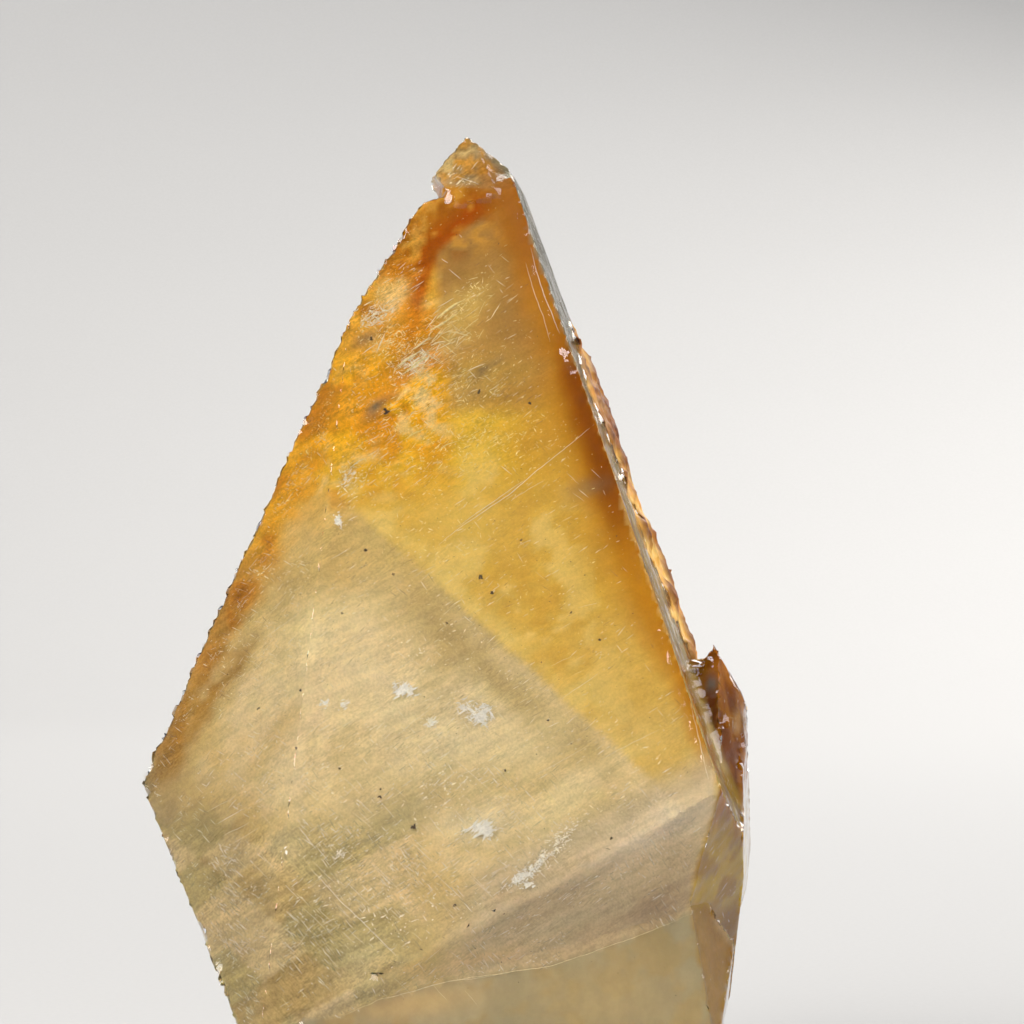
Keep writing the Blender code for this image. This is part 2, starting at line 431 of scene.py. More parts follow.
def tones(G, U, V):
    """Tone of the stone, with painted light and shade in places, and how grainy it is,
    zone by zone.
    """
    n1 = fbm(G / 9.0, 4, 101)
    n2 = fbm(G / 4.0, 4, 111)
    n3 = fbm(G / 1.6, 3, 117)
    wob = (n1 - 0.5) * 60 + (n2 - 0.5) * 26
    fray = (n2 - 0.5) * 16 + (n3 - 0.5) * 10
    u, v = U + fray, V + (n1 - 0.5) * 24 + (n3 - 0.5) * 8
    c = np.repeat(MILK[None, :], len(U), 0)
    grain = np.full(len(U), 0.5)
    # the beige, cloudy middle
    c = mix(c, BEIGE, 0.55 * ramp(blob(U, V, 410, 720, 200, 150), 0.15, 0.9))
    c = mix(c, srgb(232, 203, 142), 0.85 * blob(u, v, 308, 636, 62, 30, -28))
    c = mix(c, srgb(232, 211, 166), 0.75 * blob(u, v, 455, 722, 100, 52, -22))
    c = mix(c, srgb(224, 202, 150), 0.65 * blob(u, v, 565, 800, 70, 24, -32))
    c = mix(c, srgb(222, 184, 118), 0.55 * blob(u, v, 268, 545, 40, 26, -30))
    c = mix(c, srgb(224, 198, 146), 0.7 * blob(u, v, 388, 690, 34, 22, 20))
    c = mix(c, BEIGE, 0.4 * ramp(n1, 0.5, 0.68))
    c = mix(c, OLIVE, 0.35 * ramp(n1, 0.46, 0.34))
    # shaded places in it
    c = mix(c, srgb(150, 128, 82), 0.85 * band_of(
        U, V, [(392, 556), (500, 655), (640, 772)], 26, fray - 20))
    c = mix(c, srgb(136, 116, 72), 0.8 * blob(u, v, 490, 624, 54, 15, 38))
    c = mix(c, srgb(236, 214, 168), 0.8 * blob(u, v, 480, 822, 34, 20, -10))
    c = mix(c, srgb(238, 212, 160), 0.6 * blob(u, v, 436, 736, 46, 20, -10))
    c = mix(c, srgb(236, 212, 160), 0.6 * blob(u, v, 536, 738, 44, 22, -28))
    c = mix(c, srgb(134, 114, 74), 0.75 * blob(u, v, 214, 826, 44, 26, 50))
    c = mix(c, srgb(120, 96, 56), 0.8 * blob(u, v, 160, 776, 24, 34, 30))
    c = mix(c, srgb(176, 152, 104), 0.5 * band_of(
        U, V, [(476, 796), (606, 690)], 13, fray))
    c = mix(c, srgb(142, 130, 96), 0.8 * blob(u, v, 402, 812, 48, 28, -34))
    c = mix(c, srgb(144, 132, 94), 0.75 * blob(u, v, 334, 884, 48, 24, 42))
    c = mix(c, srgb(124, 92, 44), 0.85 * band_of(
        U, V, [(262, 628), (160, 778)], 11, fray))
    c = mix(c, srgb(172, 140, 88), 0.5 * band_of(
        U, V, [(300, 700), (246, 790)], 12, fray))
    # golden sector above the oblique plane
    s = (G - np.array([-6.6, -22.0, 71.0])) @ CLEAVE[0]
    gold = ramp(s * 8.3 + (n3 - 0.5) * 5, -3, 6) * (G[:, 1] < 6)
    c = mix(c, HONEY, gold * 0.97)
    c = mix(c, srgb(216, 178, 96), 0.7 * gold * np.exp(-(s / 2.6) ** 2))
    c = mix(c, GOLD, gold * ramp(V + wob * 0.6, 520, 430) * 0.8)
    c = mix(c, srgb(146, 92, 20), 0.85 * gold * blob(u, v, 568, 434, 46, 50))
    c = mix(c, srgb(156, 98, 16), 0.85 * gold * blob(u, v, 545, 430, 38, 40))
    c = mix(c, srgb(184, 130, 46), 0.4 * gold * ramp(n2, 0.50, 0.40))
    c = mix(c, srgb(236, 198, 112), 0.5 * gold * ramp(n2, 0.52, 0.62))
    c = mix(c, srgb(206, 168, 98), 0.6 * gold * blob(u, v, 628, 650, 46, 44))
    c = mix(c, srgb(204, 172, 108), 0.75 * gold * blob(u, v, 652, 730, 46, 44))
    c = mix(c, srgb(222, 176, 84), 0.6 * gold * blob(u, v, 450, 520, 60, 44, 30))
    grain = grain * (1 - 0.45 * gold)
    # golden cloud and brown interior above it
    up = ramp(V + wob * 0.8, 462, 392)
    c = mix(c, GOLD, 0.9 * blob(u, v, 452, 436, 110, 42, -8))
    c = mix(c, INTERIOR, up * ramp(U - wob * 0.4, 418, 440))
    c = mix(c, srgb(190, 146, 66), 0.8 * blob(u, v, 470, 385, 52, 24, -22))
    c = mix(c, srgb(226, 184, 98), 0.5 * blob(u, v, 456, 316, 44, 18, -40))
    c = mix(c, srgb(214, 164, 84), 0.5 * blob(u, v, 440, 340, 40, 24, -20))
    c = mix(c, INTERIOR_RED, up * 0.85
            * ramp(U - 0.36 * (V - 200) - fray, 500, 545))
    c = mix(c, GOLD, 0.85 * blob(u, v, 470, 424, 84, 15, -4))
    c = mix(c, srgb(158, 98, 20), 0.8 * blob(u, v, 552, 432, 36, 36))
    grain = np.maximum(grain, 0.75 * blob(u, v, 450, 400, 120, 90))
    # upper left: speckled orange
    left = ramp(V + 0.30 * U + wob * 0.7, 650, 520) \
        * ramp(U - wob * 0.25 - 0.12 * (V - 300), 446, 424)
    c = mix(c, UPLEFT, left)
    c = mix(c, CREAM, 0.8 * left * blob(u, v, 380, 304, 30, 34, 40))
    c = mix(c, srgb(246, 222, 172), 0.75 * blob(u, v, 388, 318, 26, 13, -20))
    c = mix(c, srgb(244, 214, 156), 0.7 * blob(u, v, 418, 362, 26, 12, -30))
    c = mix(c, srgb(206, 190, 160), 0.7 * blob(u, v, 352, 316, 8, 26, 18))
    c = mix(c, CREAM, 0.55 * left * ramp(n3 + 0.4 * (n2 - 0.5), 0.55, 0.70))
    c = mix(c, srgb(184, 104, 14), 0.8 * left * ramp(n2, 0.50, 0.40))
    grain = np.maximum(grain, left)
    # saturated orange crescent and the amber band under the tip
    cres = path_distance(U, V, [(414, 352), (426, 300), (438, 252),
                                (476, 222), (520, 198)])
    under = ramp(V, 178, 190)
    c = mix(c, BAND, 0.9 * ramp(cres, 2, -4) * ramp(V + 0.4 * U, 452, 424)
            * under)
    c = mix(c, ORANGE, 0.95 * np.exp(-((cres + 10 + 0.3 * fray) / 12) ** 2)
            * ramp(cres, 2.5, -2.5) * ramp(V, 356, 326) * under)
    c = mix(c, srgb(198, 142, 60), 0.5 * under * ramp(V, 268, 240)
            * ramp(n3, 0.5, 0.62) * ramp(U, 440, 410))
    mott = under * ramp(V + 0.4 * U, 456, 430)
    c = mix(c, srgb(118, 60, 4), 0.5 * mott * ramp(n3, 0.50, 0.38))
    c = mix(c, srgb(196, 132, 46), 0.55 * mott * ramp(n3, 0.52, 0.64))
    tip = ramp(V - 0.12 * (U - 470), 190, 182)
    c = mix(c, TIP_GREY, tip)
    c = mix(c, TIP_AMBER, tip * ramp(U + 0.5 * (V - 150) + fray * 0.4,
                                     486, 466) * 0.9)
    c = mix(c, srgb(118, 92, 56), tip * 0.9 * blob(u, v, 486, 172, 15, 10, -20))
    c = mix(c, srgb(196, 150, 106), tip * 0.8 * blob(u, v, 442, 184, 14, 6))
    c = mix(c, srgb(220, 184, 120), tip * 0.6 * ramp(n3, 0.52, 0.62)
            * ramp(U, 482, 464))
    c = mix(c, srgb(196, 128, 40), tip * 0.7 * ramp(n3, 0.48, 0.38))
    grain = np.maximum(grain, tip)
    # amber along the right ridge, widening downward
    e, t = to_segment(G, P_APEX, P_RIGHT)
    wide = 3.0 + 2.0 * ramp(t, 0.2, 0.6) - 3.5 * ramp(t, 0.64, 0.92) \
        + 2.4 * (n2 - 0.5)
    front = ramp(G @ N_FRONT, F_FRONT[1] - 5, F_FRONT[1] - 3)
    strip = ramp(e, wide * 1.7, wide * 0.25) * ramp(t, 0.06, 0.16) \
        * ramp(t, 0.985, 0.92) * front
    c = mix(c, srgb(194, 146, 58), 0.6 * front * ramp(e, 12, 5)
            * ramp(t, 0.36, 0.5) * ramp(t, 0.98, 0.85))
    c = mix(c, AMBER_LOW, strip * 0.95)
    c = mix(c, AMBER, 0.97 * front * ramp(e, wide * 0.9, wide * 0.25)
            * ramp(t, 0.30, 0.42) * ramp(t, 0.72, 0.56))
    c = mix(c, srgb(128, 74, 24), 0.9 * strip * ramp(t, 0.34, 0.2))
    grain = grain * (1 - 0.6 * strip)
    # amber skin along the left edge
    e, t = to_segment(G, P_KINK, P_LEFT)
    left_edge = ramp(e + (n2 - 0.5) * 6, 9.5 - 4.5 * t, 2.2)
    c = mix(c, srgb(212, 137, 28), left_edge * ramp(t, 0.8, 0.45) * 0.92)
    c = mix(c, srgb(142, 98, 40), left_edge * ramp(t, 0.4, 0.65)
            * ramp(t, 1.05, 0.96) * 0.9)
    c = mix(c, srgb(150, 88, 24), 0.8 * left_edge * ramp(n2, 0.5, 0.36)
            * ramp(t, 0.85, 0.6) * ramp(e, 6, 2))
    grain = np.maximum(grain, 0.9 * left_edge)
    rim = np.abs(G @ F_LOW_LEFT[0] - F_LOW_LEFT[1]) < 1.5
    c = mix(c, srgb(104, 84, 50), 0.8 * rim * (G[:, 1] < 8))
    # mauve-grey lower right, smooth foot, grey lower left
    low = V + (U - 560) * 0.50
    c = mix(c, srgb(184, 168, 142), 0.7 * ramp(low, 812, 850)
            * ramp(U, 420, 500))
    near = ramp(G[:, 1], 9, 3)
    c = mix(c, MAUVE, 0.9 * ramp(low + fray, 846, 900) * ramp(U, 430, 540)
            * near)
    # painted sheen: the pale streak along the crest just under the girdle
    c = mix(c, srgb(206, 182, 152), 0.8 * blob(u, v, 650, 836, 74, 15, -27))
    c = mix(c, srgb(160, 140, 112), 0.6 * blob(u, v, 545, 900, 70, 20, -24))
    c = mix(c, srgb(128, 106, 84), 0.8 * blob(u, v, 648, 908, 60, 17, -24))
    c = mix(c, srgb(160, 150, 122), 0.6 * blob(u, v, 545, 935, 70, 14, -22))
    lowleft = ramp((V - 760) + (300 - U) * 0.8 + wob * 0.5, 40, 190)
    c = mix(c, LOWLEFT, lowleft * 0.8 * ramp(U, 420, 330))
    c = mix(c, srgb(168, 158, 124), 0.6 * blob(u, v, 366, 956, 34, 22, -34))
    c = mix(c, srgb(206, 176, 128), 0.6 * blob(u, v, 400, 900, 46, 15, 44))
    c = mix(c, srgb(138, 114, 74), 0.65 * blob(u, v, 296, 992, 26, 34, 10))
    c = mix(c, srgb(116, 98, 66), 0.7 * blob(u, v, 271, 985, 7, 30, -5))
    # painted light on the lower front face just under the girdle, fading downward, to
    # offset the shade it gets from facing down, and painted shade on the front face just
    # above the girdle edge
    drop = F_FRONT[1] - G @ N_FRONT
    girdle_painted_light = ramp(F_LOW_FRONT[1] - G @ N_LOW_FRONT, 2.5, 1.2) \
        * ramp(G[:, 1], 5, 0)
    c = c * (1 + 0.26 * girdle_painted_light * ramp(drop, 7, 0.5) * ramp(U, 560, 660)
             - 0.12 * ramp(F_LOW_FRONT[1] - G @ N_LOW_FRONT, 5, 1)
             * (1 - girdle_painted_light) * ramp(drop, 2.5, 1.0) * ramp(U, 420, 560)
             )[:, None]
    # shaded under the seam, upper end
    c = mix(c, srgb(176, 146, 84), 0.65 * (1 - gold) * blob(
        u, v, 418, 566, 62, 30, 40))
    c = mix(c, srgb(186, 150, 88), 0.5 * (1 - gold) * blob(
        u, v, 330, 560, 40, 26, 0))
    c = mix(c, srgb(200, 164, 116), 0.6 * blob(u, v, 470, 962, 84, 9, -16))
    # cleavage blocks, each with its own cast
    cell = rhomb(G, 6.0, 151, 0.5)
    cast = ramp(U, 470, 380) * ramp(V, 780, 850) \
        * (0.25 + 0.75 * ramp(G[:, 1], 6, -4))
    c = mix(c, srgb(140, 136, 98), 0.36 * cast * (cell > 0.66))
    c = mix(c, srgb(206, 182, 142), 0.36 * cast * (cell < 0.33))
    cell2 = rhomb(G, 9.0, 155, 0.3)
    c = c * (1 + 0.05 * (cell2 - 0.5) * (1 - gold))[:, None]
    grain = np.maximum(grain, cast * 0.9)
    lx, ly = np.array(LEDGE, float).T
    foot = (V > np.interp(U, lx, ly) + 1) & (U > 300) & (G[:, 1] < 0) \
        & (U < 693 + (V - 911) * 0.17)
    foot_tone = mix(np.repeat(FOOTC[None], len(U), 0), srgb(144, 134, 108),
                    ramp(n1, 0.48, 0.60))
    foot_tone = mix(foot_tone, srgb(138, 118, 80), 0.7 * ramp(n2, 0.52, 0.4))
    foot_tone = mix(foot_tone, srgb(188, 150, 96),
                    0.6 * blob(U, V, 410, 1004, 70, 16, -8))
    foot_tone = mix(foot_tone, srgb(164, 140, 96),
                    0.6 * blob(U, V, 600, 1000, 90, 50))
    c = np.where(foot[:, None], foot_tone, c)
    grain = np.where(foot, 0.0, grain)
    # smoky grey flaws
    for x, y, rx, ry, turn, w in ((375, 408, 15, 6, -42, 1.0),
                                  (366, 340, 16, 8, -30, 0.75),
                                  (481, 371, 11, 5, -38, 0.85),
                                  (497, 362, 8, 4, -30, 0.6),
                                  (471, 392, 30, 11, -36, 0.35),
                                  (588, 489, 24, 9, -16, 0.5),
                                  (345, 478, 6, 4, -30, 0.6),
                                  (170, 815, 9, 16, 20, 0.5)):
        c = mix(c, SMOKE, w * blob(U + 0.5 * fray, V + 0.3 * fray,
                                   x, y, rx, ry, turn))
    return c, grain


SLIVER = srgb(112, 108, 88)
SLIVER_LOW = srgb(186, 144, 78)
SLIVER_GREEN = srgb(120, 122, 66)
FLANK = srgb(142, 102, 38)


def skin_tone(G, U, V, nor):
    """Tone of the stone just under its surface, on every side, with painted light and
    shade in places.
    """
    c, grain = tones(G, U, V)
    n2 = fbm(G / 3.0, 3, 121)
    # the far side: the same honey stone, warmer and more even
    far = ramp(G[:, 1], 4, 20)
    c = mix(c, mix(np.repeat(srgb(214, 176, 108)[None], len(U), 0),
                   srgb(190, 140, 62), ramp(G[:, 2], 58, 92)
                   + 0.8 * (fbm(G / 9.0, 3, 127) - 0.5)),
            far * (0.35 + 0.3 * ramp(V, 700, 780)))
    # narrow right face: grey glass above, cream below, striped along it
    right = ramp(nor @ N_RIGHT, 0.80, 0.92)
    band = mix(np.repeat(SLIVER[None, :], len(U), 0), SLIVER_LOW,
               ramp(V, 350, 470))
    band = mix(band, SLIVER_GREEN,
               0.9 * blob(U, V, 586, 352, 12, 16)
               + 0.9 * blob(U, V, 596, 396, 12, 16))
    ridge = (P_RIGHT - P_APEX) / np.linalg.norm(P_RIGHT - P_APEX)
    w = G @ np.cross(ridge, N_RIGHT)
    st = vnoise(np.stack([w / 3.4, G @ ridge / 26, w * 0 + 5], 1), 131)
    band = mix(band, srgb(176, 108, 32), 0.8 * ramp(st, 0.45, 0.70)
               * ramp(V, 300, 540))
    band = mix(band, srgb(228, 192, 126), 0.7 * ramp(st, 0.45, 0.2)
               * ramp(V, 440, 540))
    band = mix(band, srgb(184, 130, 54), 0.6 * ramp(n2, 0.5, 0.62)
               * ramp(V, 300, 420))
    c = mix(c, band, right * ramp(V, 830, 780))
    # orange crust over its outer half
    cr = crusted(G, nor)
    n3 = fbm(G / 1.4, 3, 123)
    cr = ramp(cr, 0.1, 0.7)
    c = mix(c, CRUST, cr)
    c = mix(c, srgb(224, 156, 70), 0.7 * cr * ramp(n2 + 0.4 * (n3 - 0.5),
                                                   0.46, 0.66))
    c = mix(c, srgb(246, 214, 150), 0.7 * cr * ramp(n3, 0.50, 0.36))
    # side crystal and the flank below it
    out = G @ F_RIGHT[0] - F_RIGHT[1]
    side = ramp(out, -0.4, 0.3) * ramp(G[:, 2], 40, 44)
    flank = ramp(nor[:, 0], 0.5, 0.8) * ramp(G[:, 2], 47, 44) \
        * ramp(G[:, 0], 27, 30) * ramp(nor[:, 2], 0.33, 0.15)
    c = mix(c, FLANK, flank)
    n1 = fbm(G / 8.0, 3, 125)
    c = mix(c, srgb(176, 142, 84), 0.8 * flank * ramp(n1, 0.48, 0.62))
    c = mix(c, srgb(120, 78, 22), 0.7 * flank * ramp(n1 + 0.3 * (n2 - 0.5),
                                                     0.47, 0.34))
    # olive honey on the flank's upper facet, deeper honey at the foot
    low = ramp(nor[:, 0], 0.45, 0.65) * ramp(G[:, 0], 24, 27) \
        * ramp(G[:, 2], 44, 41)
    c = mix(c, mix(np.repeat(srgb(170, 132, 14)[None], len(U), 0),
                   srgb(140, 100, 10), ramp(n2 + 0.3 * (n1 - 0.5), 0.50, 0.38)),
            0.75 * low * ramp(V, 915, 898))
    c = mix(c, srgb(124, 84, 8), 0.6 * low * ramp(V, 898, 920))
    side = np.clip(side + 0.75 * flank * ramp(G[:, 2], 33, 42), 0, 1)
    c = mix(c, SIDE, side)
    st = vnoise(np.stack([G[:, 0] / 0.5, G[:, 1] / 0.7, G[:, 2] / 7.0], 1),
                141)
    # painted highlights: paler amber streaks along the side crystal's striae, partly their
    # own tone; painted glow: brighter orange near its top
    c = mix(c, srgb(164, 96, 10), side * ramp(st, 0.5, 0.8) * 0.6)
    c = mix(c, srgb(190, 104, 12), side * 0.8 * blob(U, V, 722, 668, 12, 20))
    c = mix(c, srgb(184, 134, 66), side * 0.6 * blob(U, V, 736, 722, 6, 12))
    c = mix(c, srgb(88, 44, 0), side * ramp(st, 0.42, 0.2) * 0.4)
    c = mix(c, srgb(120, 116, 110), side * 0.9 * blob(U, V, 712, 684, 5, 8))
    grain = grain * (1 - 0.7 * side) * (1 - 0.8 * flank)
    return c, grain


# write the mesh
mesh.vertices.foreach_set("co", (pos * MM).ravel())
mesh.update()
skin = bpy.data.objects.new("calcite_skin", mesh)
bpy.context.scene.collection.objects.link(skin)
mesh.shade_smooth()
mesh.set_sharp_from_angle(angle=radians(24))
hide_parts("calcite")
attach(skin, "root")


# ------------------------------------------------------- the sealed cloud
# A milky body a fraction of a millimetre under the clear skin: the same
# shape, softened, and always deeper than the skin's own chips and steps.
def pairs_of(me):
    e = np.empty(len(me.edges) * 2, dtype=np.int32)
    me.edges.foreach_get("vertices", e)
    return e.reshape(-1, 2)


def spread(x, pairs, rounds):
    """Average with the neighbours, this many times."""
    x = x if x.ndim == 2 else x[:, None]
    a, b = pairs[:, 0], pairs[:, 1]
    n = len(x)
    deg = np.bincount(a, minlength=n) + np.bincount(b, minlength=n)
    for _ in range(rounds):
        tot = np.stack([np.bincount(a, weights=x[b, k], minlength=n)
                        + np.bincount(b, weights=x[a, k], minlength=n)
                        for k in range(x.shape[1])], 1)
        x = 0.4 * x + 0.6 * tot / deg[:, None]
    return x if x.shape[1] > 1 else x[:, 0]


def widest(x, pairs, rounds):
    """The largest value among the neighbours."""
    for _ in range(rounds):
        y = x.copy()
        np.maximum.at(y, pairs[:, 0], x[pairs[:, 1]])
        np.maximum.at(y, pairs[:, 1], x[pairs[:, 0]])
        x = y
    return x


def paler(c):
    """Under a clear skin of this index much of the light is thrown back
    inside, so what is sealed in has to be paler than it looks."""
    c = c * np.array([0.72, 0.67, 0.58])
    return np.clip(c / (0.37 + 0.61 * c), 0, 0.97)


cmesh = mesh.copy()
cmesh.name = "calcite_cloud"
pairs = pairs_of(cmesh)
deep = spread(widest(depth, pairs, 2), pairs, 3)
close = spread(widest(depth, pairs, 1), pairs, 1)
deep = np.where(edge < 2.5, np.minimum(deep, close), deep)
inward = spread(nor, pairs, 8)
inward /= np.linalg.norm(inward, axis=1)[:, None]
gap = (0.45 + 0.30 * fbm((co - SHIFT) / 6.0, 3, 201)) \
    * (0.16 + 0.84 * ramp(edge, 0.6, 3.2)) * (1 - 0.6 * crusted(G, nor)) \
    * (1 - 0.6 * ramp(nor @ F_LOW_LEFT[0], 0.9, 0.97))
cpos = co - inward * (deep + gap)[:, None]
cpos[:, 2] = np.where(co[:, 2] < 0.4, np.maximum(cpos[:, 2], 0.45),
                      np.maximum(cpos[:, 2], 0.40))
# the cloud rounds off under the girdle instead of following its edge
g_dist, _ = to_segment(G, P_LOWLEFT, P_RIGHT)
ease = (np.exp(-(g_dist / 5.0) ** 2)
        * ramp(np.linalg.norm(G - P_RIGHT, axis=1), 5, 12))[:, None]
cpos = cpos * (1 - ease) + spread(cpos, pairs, 30) * ease
cg = cpos - SHIFT
cu, cv = px_of(cg)
ctone, cgrain = skin_tone(cg, cu, cv, inward)
cmesh.vertices.foreach_set("co", (cpos * MM).ravel())
ccol = np.ones((len(cg), 4))
ccol[:, :3] = paler(ctone)
ccol[:, 3] = np.clip(cgrain, 0, 1)
att = cmesh.color_attributes.new("tone", "FLOAT_COLOR", "POINT")
att.data.foreach_set("color", ccol.ravel())
cmesh.update()
cmesh.shade_smooth()
cloud = bpy.data.objects.new("calcite_cloud", cmesh)
bpy.context.scene.collection.objects.link(cloud)
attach(cloud, "root")
print("cloud: %d vertices" % len(cg))


# --------------------------------------------- flaws sealed under the skin
# Splinters, cracks and specks, each a small closed body lying between the
# clear skin and the cloud, turned along the stone's own cleavage traces.
polys = [tuple(f.vertices) for f in mesh.polygons]
first = np.array([f[0] for f in polys])
skin_tree = BVHTree.FromPolygons([tuple(q) for q in G], polys)
EYE = np.array([8.01, -600.0, 73.73])


def behind(x, y):
    """Skin point and vertex lying behind a place of the layout map."""
    ray = Vector(((x - 512) / 4980.0, 1.0, (512 - y) / 4980.0)).normalized()
    hit, _, f, _ = skin_tree.ray_cast(Vector(EYE), ray)
    return (None, None) if hit is None else (np.array(hit), first[f])


def sunk(at, i, g):
    """Those skin points taken g mm into the clear layer."""
    return at - inward[i] * (deep[i] - depth[i] + g)[:, None]


def trace(n, k, turn=0.0):
    """Cleavage k's trace on faces of direction n, pointing right."""
    t = np.cross(n, CLEAVE[k])
    t /= np.linalg.norm(t, axis=1)[:, None]
    t *= np.where(t[:, :1] < 0, -1.0, 1.0)
    a = np.cross(n, t) * np.where(n[:, 1:2] < 0, 1.0, -1.0)
    a *= np.where(a[:, 2:] < 0, -1.0, 1.0)
    r = np.radians(turn) * np.ones(len(n))
    return t * np.cos(r)[:, None] + a * np.sin(r)[:, None]


SPLINTER = np.array([(0, 2, 4), (0, 4, 3), (0, 3, 5), (0, 5, 2),
                     (1, 4, 2), (1, 3, 4), (1, 5, 3), (1, 2, 5)])


def flaw_object(name, verts, faces, colour):
    me = bpy.data.meshes.new(name)
    me.from_pydata((verts + SHIFT) * MM, [], faces)
    att = me.color_attributes.new("tone", "FLOAT_COLOR", "POINT")
    att.data.foreach_set("color", np.concatenate(
        [colour, np.ones((len(verts), 1))], 1).ravel())
    me.update()
    ob = bpy.data.objects.new(name, me)
    bpy.context.scene.collection.objects.link(ob)
    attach(ob, "root")
    print("%s: %d faces" % (name, len(me.polygons)))
    return ob


def splinters(name, at, along, facing, size, colour, rng):
    """Six-cornered splinters: half length, half width, half thickness."""
    across = np.cross(facing, along)
    across /= np.linalg.norm(across, axis=1)[:, None]
    facing = np.cross(along, across)
    L, W, T = [size[:, k:k + 1] for k in range(3)]
    skew = rng.uniform(-0.55, 0.55, (len(at), 2, 1)) * L[:, None]
    v = np.stack([at + along * L, at - along * L,
                  at + across * W + along * skew[:, 0],
                  at - across * W + along * skew[:, 1],
                  at + facing * T, at - facing * T], 1)
    f = (np.arange(len(at))[:, None, None] * 6 + SPLINTER[None]).reshape(-1, 3)
    return flaw_object(name, v.reshape(-1, 3), f.tolist(),
                       np.repeat(colour, 6, 0))


def lie(i, rng, set_, spread_):
    """Direction along the face for splinters at these skin vertices."""
    n = nor[i]
    out = np.empty((len(i), 3))
    for k in range(3):
        m = set_ == k
        if m.any():
            out[m] = trace(n[m], k, rng.normal(0, 1, m.sum()) * spread_[m]
                           + np.where(k == 0, -5.0, 9.0))
    return out


def shell(name, w, lift, thick):
    """A closed crust lying on the skin wherever w is over about a half,
    its rim drowned in the clear layer."""
    chosen = [f for f in polys if min(w[v] for v in f) > 0.12]
    used = sorted({v for f in chosen for v in f})
    new = {v: k for k, v in enumerate(used)}
    used = np.array(used)
    rise = -0.16 + 0.20 * ramp(w[used], 0.15, 0.5) \
        + lift[used] * ramp(w[used], 0.45, 0.8)
    out = G[used] + inward[used] * rise[:, None]
    back = G[used] - inward[used] * thick
    n = len(used)
    faces, seen = [], {}
    for f in chosen:
        g = tuple(new[v] for v in f)
        faces.append(g)
        faces.append(tuple(k + n for k in reversed(g)))
        for a, b in zip(g, g[1:] + g[:1]):
            seen[(a, b)] = True
    for a, b in list(seen):
        if (b, a) not in seen:
            faces.append((b, a, a + n, b + n))
    v = np.concatenate([out, back])
    v = np.clip(v + SHIFT, lo + 0.01, hi - 0.01) - SHIFT
    v[:, 2] = np.maximum(v[:, 2], 0.02)
    tone, _ = skin_tone(G[used], U[used], V[used], nor[used])
    tone = np.clip(tone * np.array([0.76, 0.68, 0.44]), 0, 1)
    ob = flaw_object(name, v, faces, np.concatenate([tone, tone]))
    ob.data.shade_smooth()
    return ob


knob = fbm(np.stack([G[:, 0] / 1.1, G[:, 1] / 1.6, G[:, 2] / 2.2], 1), 3, 77)
rim_w = crusted(G, nor)
edge_crust = shell("edge_crust", rim_w, 0.04 + 0.22 * ramp(knob, 0.45, 0.65),
                   0.26)


# silk: short threads that come and go all through the stone
rng = np.random.default_rng(11)
_, sgrain = skin_tone(G, U, V, nor)
patch = fbm(G / 3.4, 3, 301)
patch2 = fbm(G / 4.2, 3, 311)
ok = (edge > 1.3) & (nor[:, 2] > -0.9) & (G[:, 2] > 1.2)
w1 = ok * sgrain * ramp(patch, 0.44, 0.60) ** 2
w2 = ok * sgrain * ramp(patch2, 0.48, 0.62) ** 2 \
    * (0.15 + ramp(G[:, 2], 52, 34))
n1, n2 = 15000, 5500
i1 = rng.choice(len(G), n1, p=w1 / w1.sum())
i2 = rng.choice(len(G), n2, p=w2 / w2.sum())
i = np.concatenate([i1, i2])
kind = np.concatenate([1 + rng.integers(0, 2, n1), np.zeros(n2, int)])
steep = np.abs(nor[i] @ np.array([1.0, 0, 0])) > 0.75
kind = np.where(steep, 2 * (kind > 0), kind)
al = lie(i, rng, kind, np.full(len(i), 7.0))
shift = rng.uniform(-0.42, 0.42, (len(i), 2))
ac = np.cross(nor[i], al)
at = sunk(G[i], i, rng.uniform(0.13, 0.26, len(i)) * 1.0) \
    + al * shift[:, :1] + ac * shift[:, 1:]
L = 0.14 + 0.75 * rng.random(len(i)) ** 3 + (kind == 0) * 0.35 \
    * rng.random(len(i)) ** 2
size = np.stack([L, 0.030 + 0.040 * rng.random(len(i)),
                 0.018 + 0.012 * rng.random(len(i))], 1)
tone, _ = skin_tone(at, *px_of(at), nor[i])
lift = rng.random(len(i))
pale = rng.uniform(0.15, 0.75, (len(i), 1)) ** 1.5
cool = (ramp(px_of(at)[1], 700, 800))[:, None]
dark = tone * 0.64 * (1 - cool) + cool * tone * np.array([0.58, 0.66, 0.72])
bright = np.where(lift[:, None] < 0.34, dark, tone * (1 - pale)
                  + (srgb(255, 240, 196) * (1 - cool)
                     + srgb(255, 251, 232) * cool) * pale)
silk = splinters("silk_threads", at, al, nor[i], size,
                 paler(np.clip(bright, 0, 1.1)), rng)
